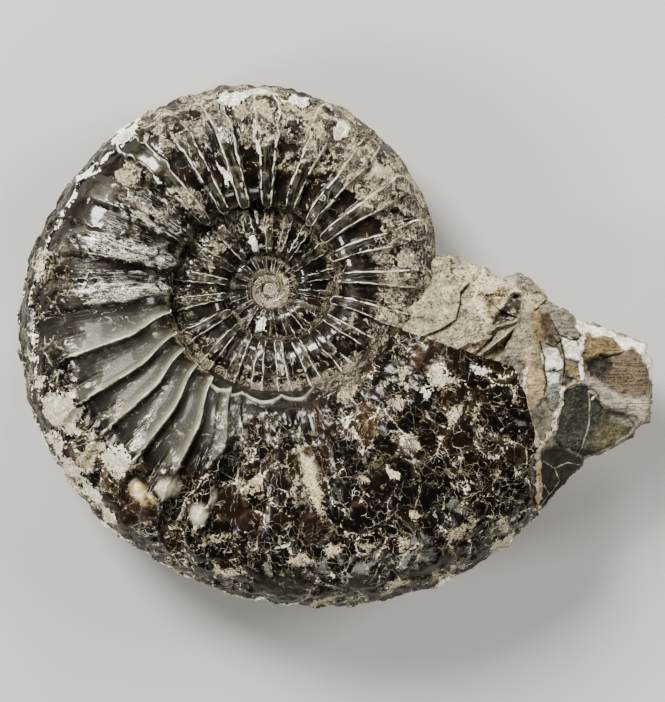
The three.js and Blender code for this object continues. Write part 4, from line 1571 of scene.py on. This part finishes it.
class ShellGraph(Graph):
    """The shell's graph, with the noises and masks that the parts of its finish share.

    Attributes:
        fine, mid, big: Noise of 0.45, 1.6 and 6 mm.
        worms, lumps: Swirled noise of 0.7 and 2.3 mm.
        strand: 1 on the middle level of worms, falling on both sides of it.
        streak, threads, streaks: Noise drawn out across the shell, and lines along the first.
        curl, rings: Thin curled lines, and fine rings around the first chamber.
        crackle, satin, top, low, core: What the mesh carries.
        bare, crust, cream, heart, ochre, grit, keel, fibre, edge: Layers torn by noise; edge is the
        pale rib edge line, partly wear and partly painted highlight.
        crack, halo, cracks, chips: The plates' borders, bloom beside them, every pale line, flecks.
    """

    def __init__(self) -> None:
        """Fills an empty graph."""
        super().__init__("worn_shell")
        self.fine, self.mid, self.big = self.noise(0.45, 3.0), self.noise(1.6, 4.0), self.noise(6.0, 3.0)
        self.worms, self.lumps = self.noise(0.7, 5.0, 1.8), self.noise(2.3, 3.0, 1.0)
        self.strand = 1.0 - self.worms.off() * 9.0
        self.streak = self.noise(1.0, 4.0, 1.6, self.flowing(0.8, 4.0))
        self.threads = self.noise(1.0, 3.0, 0.8, self.flowing(0.35, 3.0))
        self.streaks = self.streak.line(0.026, 0.004)
        self.curl = self.noise(1.3, 3.0, 2.4).line(0.05, 0.014)
        self.rings = self.noise(1.0, 3.0, 0.3, self.flowing(2.6, 0.35)).line(0.05, 0.0)
        self.crackle, self.satin = self.layer(Layer.CRACKLE), self.layer(Layer.SATIN)
        self.top, self.low, self.core = (self.layer(k) for k in (Layer.TOP, Layer.LOW, Layer.CORE))
        self._tear()
        self._break()

    def _tear(self) -> None:
        """Tears the edges of what sticks to the shell, and of the rib edge lines, by noise about zero."""
        noises = self.fine, self.mid, self.big, self.worms, self.lumps
        fine, mid, big, worms, lumps = (noise - 0.5 for noise in noises)
        torn = lumps * 2.4 + mid * 2.0 + fine * 1.0 + self.crackle * worms * 3.5
        self.bare = (self.layer(Layer.BARE) + mid * 1.6).step(0.4, 0.6)
        self.crust = self.ragged(Layer.CRUST, lumps * 2.8 + fine * 1.2, 0.46, 0.66) * (1.0 - self.bare)
        self.cream = self.ragged(Layer.CREAM, torn, 0.46, 0.5)
        self.heart = self.ragged(Layer.CREAM, lumps * 2.4 + worms * 2.0, 0.86, 1.16)
        self.ochre = self.ragged(Layer.OCHRE, worms * 3.2 + fine * 1.4, 0.5, 0.78)
        self.grit = self.ragged(Layer.GRIT, fine * 1.6 + lumps * 1.4, 0.42, 0.66)
        self.keel = self.ragged(Layer.KEEL, torn + worms * 2.2 + big * 1.6, 0.52, 0.6)
        self.fibre = self.ragged(Layer.FIBRE, lumps * 2.4, 0.4, 0.8) * (1.0 - self.bare)
        # The pale line along the rib edges: partly wear and partly painted highlight.
        edge = (self.layer(Layer.EDGE) + fine * 0.2 + mid * 0.45).step(0.14, 0.05)
        kept = (self.lumps.step(0.37, 0.48) + 0.7 * self.satin).step(0.0, 1.0)
        self.edge = edge * kept * (1.0 - self.crackle) * (1.0 - 0.5 * self.crust)

    def _break(self) -> None:
        """Works out the pale lines: the greatest of several kinds, each interrupted by noise.

        On the plates these are their borders, a net of fine polygons, curls, wrinkles across the shell
        and flecks; outside them, a few stray cracks.
        """
        mid, big, lumps, crackle = self.mid, self.big, self.lumps, self.crackle
        self.crack = self.layer(Layer.CRACK) + (self.worms - 0.5) * 0.5 + (self.fine - 0.5) * 0.1
        self.halo = self.crack.step(0.5, 0.05) * lumps.step(0.48, 0.64)
        line = self.crack.step(0.06, 0.018) * mid.step(0.28, 0.4)
        line = line * (0.6 + 0.4 * lumps.step(0.4, 0.58))
        net = self.borders(2.8, self.bent(1.1, 1.5)).step(0.019, 0.006) * mid.step(0.42, 0.52)
        curls = self.noise(3.4, 2.5, 0.9).line(0.009, 0.003, 0.48) * big.step(0.42, 0.5)
        wrinkle = self.borders(1.0, self.bent(1.2, 0.7, self.flowing(2.0, 4.2))).step(0.015, 0.004)
        wrinkle = wrinkle * mid.step(0.44, 0.54)
        fleck = self.noise(0.75, 3.0, 0.8, self.bent(3.0, 3.0)).step(0.62, 0.66) * big.step(0.44, 0.6)
        cracks = line
        for kind in (net * crackle.step(0.78, 1.0) * 0.6, curls * 0.35, wrinkle * 0.4, fleck * 0.5):
            cracks = cracks.largest(kind)
        busy = 0.4 + 0.6 * self.noise(8.0, 2.0, 0.5).step(0.38, 0.54)
        cracks = cracks * crackle * (1.0 - self.bare) * (1.0 - 0.5 * self.low) * busy
        stray = self.borders(3.6, self.bent(1.2, 1.6)).step(0.014, 0.004) * big.step(0.5, 0.58)
        self.cracks = cracks.largest(stray * 0.45 * (1.0 - self.satin) * (1.0 - crackle))
        self.chips = fleck * (1.0 - crackle) * (1.0 - 0.6 * self.satin) * 0.6


@dataclass(frozen=True)
class ShellFinish:
    """Dark glossy calcite with pale rib edges, cream cracks, crust, grit and bright patches.

    The pale rib edges are partly wear and partly painted highlight; grey rib tops are painted sheen;
    the seam's foot and the plates towards the rim carry painted shade.
    """

    black: Colour = (0.006, 0.0045, 0.0035)
    brown: Colour = (0.018, 0.0105, 0.006)
    umber: Colour = (0.04, 0.023, 0.012)
    drab: Colour = (0.08, 0.062, 0.037)
    # Painted sheen on the rib tops.
    rib_top_sheen: Colour = (0.058, 0.056, 0.044)
    satin: Colour = (0.118, 0.114, 0.088)
    # The satin shell's troughs: painted shade.
    satin_trough_shade: Colour = (0.016, 0.014, 0.01)
    pale: Colour = (0.74, 0.71, 0.59)
    cream: Colour = (0.46, 0.42, 0.28)
    ochre: Colour = (0.26, 0.215, 0.12)
    white: Colour = (0.94, 0.93, 0.84)
    crust_dark: Colour = (0.02, 0.015, 0.011)
    crust_grey: Colour = (0.125, 0.11, 0.082)
    crust_cream: Colour = (0.58, 0.525, 0.39)
    worn: Colour = (0.48, 0.46, 0.37)
    stale: Colour = (0.27, 0.235, 0.14)
    core: Colour = (0.21, 0.185, 0.135)
    grit: Colour = (0.36, 0.32, 0.235)
    amber: Colour = (0.5, 0.385, 0.19)
    milk: Colour = (0.44, 0.42, 0.33)
    gloss: Pair = (0.09, 1.33)

    def _plates(self, g: ShellGraph) -> Value:
        """The crazed shell: every plate has a tone from black to drab, and drab bloom at its border."""
        tone = g.layer(Layer.TONE) + (g.mid - 0.5) * 0.8
        return g.layered(
            self.black,
            (tone.step(0.15, 0.6), self.brown),
            (tone.step(0.62, 0.92), self.umber),
            (tone.step(0.92, 1.05), self.drab),
            (g.halo * 0.5, self.drab),
        )

    def _smooth(self, g: ShellGraph) -> Value:
        """The satin shell, with painted shade and sheen, edge lines, streaks and a bright shoulder.

        Dark in the troughs and lighter where the ribs are higher: painted shade and painted sheen.
        The pale line on the lower rib edges is partly wear and partly painted highlight; the pale
        band along the shoulder is a painted highlight.
        """
        # The pale line on the lower rib edges: partly wear and partly painted highlight.
        worn = g.layer(Layer.EDGE).step(0.9, 0.0) * g.top.step(0.3, 0.6)
        return g.layered(
            self.satin_trough_shade,
            # Painted shade in the troughs and painted sheen where the ribs are higher.
            (g.top.step(0.06, 0.78) * 0.85 + 0.3 * (g.big - 0.4), self.satin),
            (worn * 0.3, self.worn),
            (g.streaks * g.lumps.step(0.5, 0.62) * 0.16, self.pale),
            # Painted highlight along the umbilical shoulder.
            (g.layer(Layer.SHOULDER).step(0.3, 1.0) * g.mid * 1.3, self.pale),
        )

    def _crusted(self, g: ShellGraph) -> Value:
        """Sandy crust: grey blotches on black, cream curls and lumps, ochre hearts and dark pores."""
        mid, worms, fine, blotch = g.mid, g.worms, g.fine, g.noise(3.1, 5.0, 1.4)
        lumpy = blotch + (worms - 0.5) * 0.6
        return g.layered(
            self.crust_dark,
            (blotch.step(0.42, 0.56) * 0.85, self.crust_grey),
            (g.threads.line(0.03, 0.0) * mid.step(0.42, 0.54) * 0.7, self.worn),
            (g.curl * (0.4 + 0.6 * blotch.step(0.44, 0.6)), self.crust_cream),
            ((lumpy + (fine - 0.5) * 0.3).step(0.55, 0.66) * 0.75, self.crust_cream),
            (lumpy.step(0.62, 0.68) * 0.7, self.ochre),
            (worms.line(0.036, 0.006) * mid.step(0.6, 0.48) * 0.8, self.crust_dark),
            (fine.step(0.44, 0.34) * 0.6, self.crust_dark),
        )

    def _flaky(self, g: ShellGraph) -> Value:
        """Cream flakes: white with stale veins, darker in the heart and on the crazed plates."""
        return g.layered(
            self.white,
            (g.mid.line(0.026, 0.0) * 0.35, self.stale),
            (g.heart * g.streak.step(0.44, 0.56) * 0.6, self.cream),
            (g.heart * g.strand.step(0.1, 0.8) * 0.6, self.stale),
            (g.crackle * 0.7, g.mix(g.worms.step(0.42, 0.56), self.stale, self.crust_cream)),
            (g.worms.line(0.02, 0.006) * g.lumps.step(0.42, 0.52) * 0.6, self.drab),
        )

    def _bumps(self, g: ShellGraph) -> tuple[tuple[Value, Colour], ...]:
        """The amber and milky bumps, as coats that noise makes patchy."""
        amber, milk, mid, worms = g.layer(Layer.AMBER), g.layer(Layer.MILK), g.mid, g.worms
        return (
            (amber.step(0.1, 0.8) * 0.6, self.drab),
            ((amber * (0.4 + 1.2 * mid)).step(0.22, 0.95), self.amber),
            ((milk * (0.1 + 1.8 * mid)).step(0.16, 0.8) * 0.9, self.milk),
            ((milk * (0.2 + 1.6 * worms)).step(0.7, 1.1) * 0.8, self.white),
            ((amber * (0.2 + 1.6 * worms)).step(0.8, 1.1) * 0.7, self.crust_cream),
        )

    def _fibres(self, g: ShellGraph) -> tuple[tuple[Value, Colour], ...]:
        """The fibrous shell, as coats: worn wisps, white threads and white streaks across it."""
        mid, top = g.mid, g.top
        wisps = (top * 0.3 + g.streak + (g.lumps - 0.5) * 1.4).step(0.6, 0.84)
        threads = (0.15 + top).step(0.0, 0.9) * g.worms.line(0.034, 0.008)
        return (
            (g.fibre * wisps * g.threads.step(0.53, 0.6) * mid.step(0.46, 0.55) * 0.55, self.worn),
            (g.fibre * threads * mid.step(0.46, 0.51), self.white),
            (g.fibre * g.streaks * wisps.largest(0.4), self.white),
        )

    def _colour(self, g: ShellGraph) -> Value:
        """Everything on the shell, laid over dark calcite from below upwards.

        Args:
            g: The shell's graph.

        Returns:
            The base colour.
        """
        mid, worms, lumps, top = g.mid, g.worms, g.lumps, g.top
        dust = (g.strand + (mid - 0.5) * 4.0).step(0.8, 1.4) * (1.0 - g.satin) * (1.0 - g.crackle)
        # Painted sheen: the higher rib tops turn grey.
        ridge = top.step(0.45, 0.85) * (g.threads + lumps).step(0.92, 1.16) * (1.0 - g.crackle)
        gritty = g.mix(mid.step(0.44, 0.54), self.crust_dark, self.crust_grey)
        gritty = g.mix(g.curl * 0.9, gritty, self.grit)
        chamber = g.mix(g.rings, g.mix(mid.step(0.4, 0.6), self.umber, self.core), self.pale)
        torn_keel = g.mix(mid.step(0.42, 0.66), self.crust_cream, self.white)
        return g.layered(
            g.mix(mid.step(0.4, 0.68), self.black, self.brown),
            (ridge, self.rib_top_sheen),
            (dust * (0.2 + 0.6 * top), self.crust_grey),
            (g.crackle, self._plates(g)),
            (g.satin, self._smooth(g)),
            *self._fibres(g),
            (g.crust, self._crusted(g)),
            (g.ochre, g.mix(g.strand.step(0.2, 0.9), self.ochre, self.crust_cream)),
            (g.layer(Layer.SHADE) * 0.9, self.black),
            (g.grit, gritty),
            (g.core * 0.9, chamber),
            # Pale rib edges: partly wear and partly painted highlight.
            (g.edge * 0.92, self.pale),
            (g.chips, self.pale),
            (g.cracks, g.mix(lumps.step(0.41, 0.58), self.stale, self.pale)),
            *self._bumps(g),
            (g.keel, g.mix((mid + worms).step(0.9, 1.06), self.stale, torn_keel)),
            (g.cream, self._flaky(g)),
        )

    def _height(self, g: ShellGraph) -> Value:
        """The fine relief, as a sum of one noise for each finish.

        Args:
            g: The shell's graph.

        Returns:
            The height in millimetres.
        """
        calm = 1.0 - g.satin.largest(g.crackle * 0.75)
        return (
            0.028 * g.fine * calm
            + 0.08 * g.mid * calm
            + 0.05 * g.threads * (1.0 - g.crackle) * (1.0 - 0.6 * g.satin)
            + 0.05 * g.crack.step(0.0, 0.9) * g.crackle
            + 0.08 * g.rings * g.core
            + 0.045 * g.fine * g.satin
            + 0.1 * g.worms * (g.crust + g.ochre)
            + 0.05 * g.strand.step(0.0, 1.0) * (g.crust + g.cream)
            + 0.1 * g.fine * g.grit
            + 0.06 * g.fine * g.cream
            + 0.04 * (g.cracks + g.edge)
            + 0.06 * g.streak * g.fibre
        )

    def material(self) -> Material:
        """Builds the material: polished where nothing pale sticks to the shell, dull elsewhere."""
        g = ShellGraph()
        dull = g.crust.largest(g.grit).largest(g.cream).largest(g.keel).largest(g.ochre)
        roughness = 0.22 + 0.16 * g.mid + 0.12 * g.satin - 0.05 * g.crackle
        roughness = roughness + 0.36 * dull + 0.25 * g.cracks + 0.35 * g.low
        polish = (1.0 - dull) * (1.0 - g.low) * (0.62 - 0.55 * g.satin - 0.45 * g.crackle)
        surface = self._colour(g), roughness, self._height(g)
        return g.finished(*surface, polish, self.gloss)


@dataclass(frozen=True)
class MudstoneFinish:
    """Grey-brown layered mudstone: the stone's own tints, with pale grains, dark pits and slits."""

    light: Colour = (0.54, 0.49, 0.37)
    shade: Colour = (0.11, 0.095, 0.065)
    pit: Colour = (0.03, 0.025, 0.018)

    def material(self) -> Material:
        """Builds the material."""
        g = Graph("mudstone")
        fine, mid, lumps = g.noise(0.35, 3.0), g.noise(1.4, 5.0), g.noise(2.6, 3.0, 0.8)
        bedding = g.noise(1.0, 5.0, 0.8, g.stretched((0.45, 2.2, 1.0), -32.0))
        slits = bedding.line(0.016, 0.004) * lumps.step(0.5, 0.6)
        colour = g.layered(
            g.layer(Layer.TINT, "Color"),
            (mid.step(0.52, 0.64) * 0.6, self.light),
            (mid.step(0.48, 0.35) * 0.85, self.shade),
            (fine.step(0.56, 0.66) * 0.6, self.light),
            (fine.step(0.43, 0.32) * 0.9, self.pit),
            (slits * 0.8, self.pit),
        )
        height = 0.16 * fine + 0.3 * mid + 0.14 * bedding - 0.08 * slits
        return g.finished(colour, 0.62 + 0.2 * fine, height, 0.0, (0.3, 1.45))


@dataclass(frozen=True)
class ChamberFinish:
    """Calcite of the broken chambers: each part's own tint, with fine lines, grains and cracks."""

    light: Colour = (0.5, 0.45, 0.34)
    crack: Colour = (0.022, 0.016, 0.01)

    def material(self) -> Material:
        """Builds the material."""
        g = Graph("broken_calcite")
        fine, mid, lumps = g.noise(0.35, 3.0), g.noise(1.2, 5.0), g.noise(2.6, 3.0, 0.8)
        lined, lines = g.layer(Layer.LINED), g.noise(0.8, 4.0, 0.5, g.stretched((0.25, 3.2, 1.0), -8.0))
        crystals = g.borders(0.9, g.bent(0.5, 0.5)).step(0.08, 0.0) * mid.step(0.44, 0.56)
        tint = g.layer(Layer.TINT, "Color")
        lighter, darker = g.mix(0.06, g.scaled(tint, 1.7), self.light), g.scaled(tint, 0.38)
        colour = g.layered(
            tint,
            (mid.step(0.52, 0.68) * 0.7, lighter),
            (mid.step(0.48, 0.36) * 0.9, darker),
            (lined * lines.step(0.52, 0.62) * 0.8, lighter),
            (lined * lines.step(0.48, 0.4), darker),
            (crystals * 0.3, lighter),
            (fine.step(0.55, 0.66) * 0.7, lighter),
            (fine.step(0.42, 0.3) * 0.7, darker),
            (mid.line(0.014, 0.003) * lumps.step(0.46, 0.56) * 0.8, self.crack),
        )
        roughness = 0.4 + 0.22 * mid + 0.25 * fine
        height = 0.18 * fine + 0.3 * mid + 0.14 * lines * lined + 0.12 * lumps
        return g.finished(colour, roughness, height, 0.08, (0.2, 1.46))


@dataclass(frozen=True)
class FloorFinish:
    """A plain pale floor."""

    colour: Colour = (0.46, 0.455, 0.45)

    def material(self) -> Material:
        """Builds the material."""
        g = Graph("pale_floor")
        soft = g.noise(60.0, 2.0)
        tone = g.mix(soft.step(0.3, 0.7), self.colour, tuple(0.97 * c for c in self.colour))
        return g.finished(tone, 0.72 + 0.05 * soft, 0.01 * soft, 0.0, (0.3, 1.4))


# ---- The studio ----


@dataclass(frozen=True)
class Softbox:
    """A square light.

    Attributes:
        name: Its name.
        at: Where it stands, in metres, in the part's frame.
        width: The length of its side in metres.
        power: Its power in watts.
        colour: The colour of its light.
        aimed_at: The height over the part's origin that it points at, in metres.
    """

    name: str
    at: Triple
    width: float
    power: float
    colour: Colour = (1.0, 0.975, 0.912)
    aimed_at: float = 0.01

    def build(self) -> Object:
        """Makes the light and points it at the fossil."""
        data = bpy.data.lights.new(self.name, "AREA")
        data.shape = "SQUARE"
        data.size = self.width
        data.energy = self.power
        data.color = self.colour
        made = linked(self.name, data)
        made.location = self.at
        aim = Vector((0.0, 0.0, self.aimed_at)) - Vector(self.at)
        made.rotation_euler = aim.to_track_quat("-Z", "Y").to_euler()
        return made


@dataclass
class Studio:
    """The floor, the lights and the camera.

    Attributes:
        rest: Where the coil lies, which the camera looks straight down on.
        looked_at: The point of the coil's plane in the middle of the view, in millimetres.
        distance: From the camera to the coil's plane, in millimetres.
        seen_height: How much of the coil's plane the view's height takes in, in millimetres.
        floor_size: The floor's side in metres.
        world_grey: How bright the even surrounding is.
        boxes: The lights.
    """

    rest: RestingPlace
    looked_at: Pair = (8.82, -8.75)
    distance: float = 430.0
    seen_height: float = 98.3
    floor_size: float = 6.0
    world_grey: float = 0.035
    boxes: tuple[Softbox, ...] = (
        Softbox("key", (-0.34, 0.42, 0.5), 0.24, 8.2),
        Softbox("fill", (0.52, 0.2, 0.42), 0.24, 3.0),
        Softbox("left", (-0.5, -0.16, 0.36), 0.16, 2.4),
        Softbox("low_front", (0.1, -0.6, 0.34), 0.2, 1.4),
        Softbox("back", (0.1, 0.62, 0.3), 0.16, 2.6),
    )

    def build(self) -> None:
        """Makes the floor, the world, the lights and the camera."""
        self._floor()
        self._world()
        for box in self.boxes:
            box.build()
        self._camera()
        self._tone()

    def _floor(self) -> None:
        """A square floor at the height of zero."""
        half = 0.5 * self.floor_size
        data = bpy.data.meshes.new("floor")
        corners = [(-half, -half, 0.0), (half, -half, 0.0), (half, half, 0.0), (-half, half, 0.0)]
        data.from_pydata(corners, [], [(0, 1, 2, 3)])
        floor = linked("floor", data)
        data.materials.append(FloorFinish().material())

    def _world(self) -> None:
        """An even grey surrounding."""
        world = bpy.data.worlds.new("studio")
        world.use_nodes = True
        background = world.node_tree.nodes["Background"]
        background.inputs["Color"].default_value = (*(self.world_grey,) * 3, 1.0)
        bpy.context.scene.world = world

    def _tone(self) -> None:
        """A little more contrast than the plain film look."""
        bpy.context.scene.view_settings.look = "AgX - Medium High Contrast"

    def _camera(self) -> None:
        """A camera on the coil's normal, with the coil's Y axis upwards in the view."""
        data = bpy.data.cameras.new("camera")
        data.sensor_fit = "VERTICAL"
        data.sensor_height = 36.0
        data.lens = data.sensor_height * self.distance / self.seen_height
        data.clip_start, data.clip_end = 0.01, 20.0
        camera = linked("camera", data)
        turn = self.rest.turn()
        place = turn @ Vector((*self.looked_at, self.distance)) + Vector(self.rest.axis_at)
        camera.location = place * MM
        camera.rotation_euler = turn.to_euler()
        bpy.context.scene.camera = camera


def main() -> None:
    """Builds the fossil's pieces and the studio, in order."""
    logging.basicConfig(level=logging.INFO, format="%(name)s: %(message)s")
    rest = RestingPlace()
    shell = ShellFinish().material()
    stretches = (
        ShellStretch("first_whorls", -1239.0, -360.0, 620, 100, 44, first_chamber=True),
        ShellStretch("inner_whorl", -360.0, -19.5, 640, 104, 42),
        ShellStretch("outer_whorl", -19.5, 141.0, 470, 146, 56),
        ShellStretch("body_whorl", 141.0, 215.0, 400, 176, 60),
        ShellStretch("lower_whorl", 215.0, 281.0, 400, 180, 60),
        ShellStretch("mouth_whorl", 281.0, 342.0, 400, 180, 60, broken_end=True),
    )
    for stretch in stretches:
        stretch.build(rest, shell, "dark_calcite")
    MudstoneWedge().build(rest, MudstoneFinish().material(), "mudstone")
    BrokenChambers().build(rest, ChamberFinish().material(), "pale_calcite")
    Studio(rest).build()


if __name__ == "__main__":
    main()
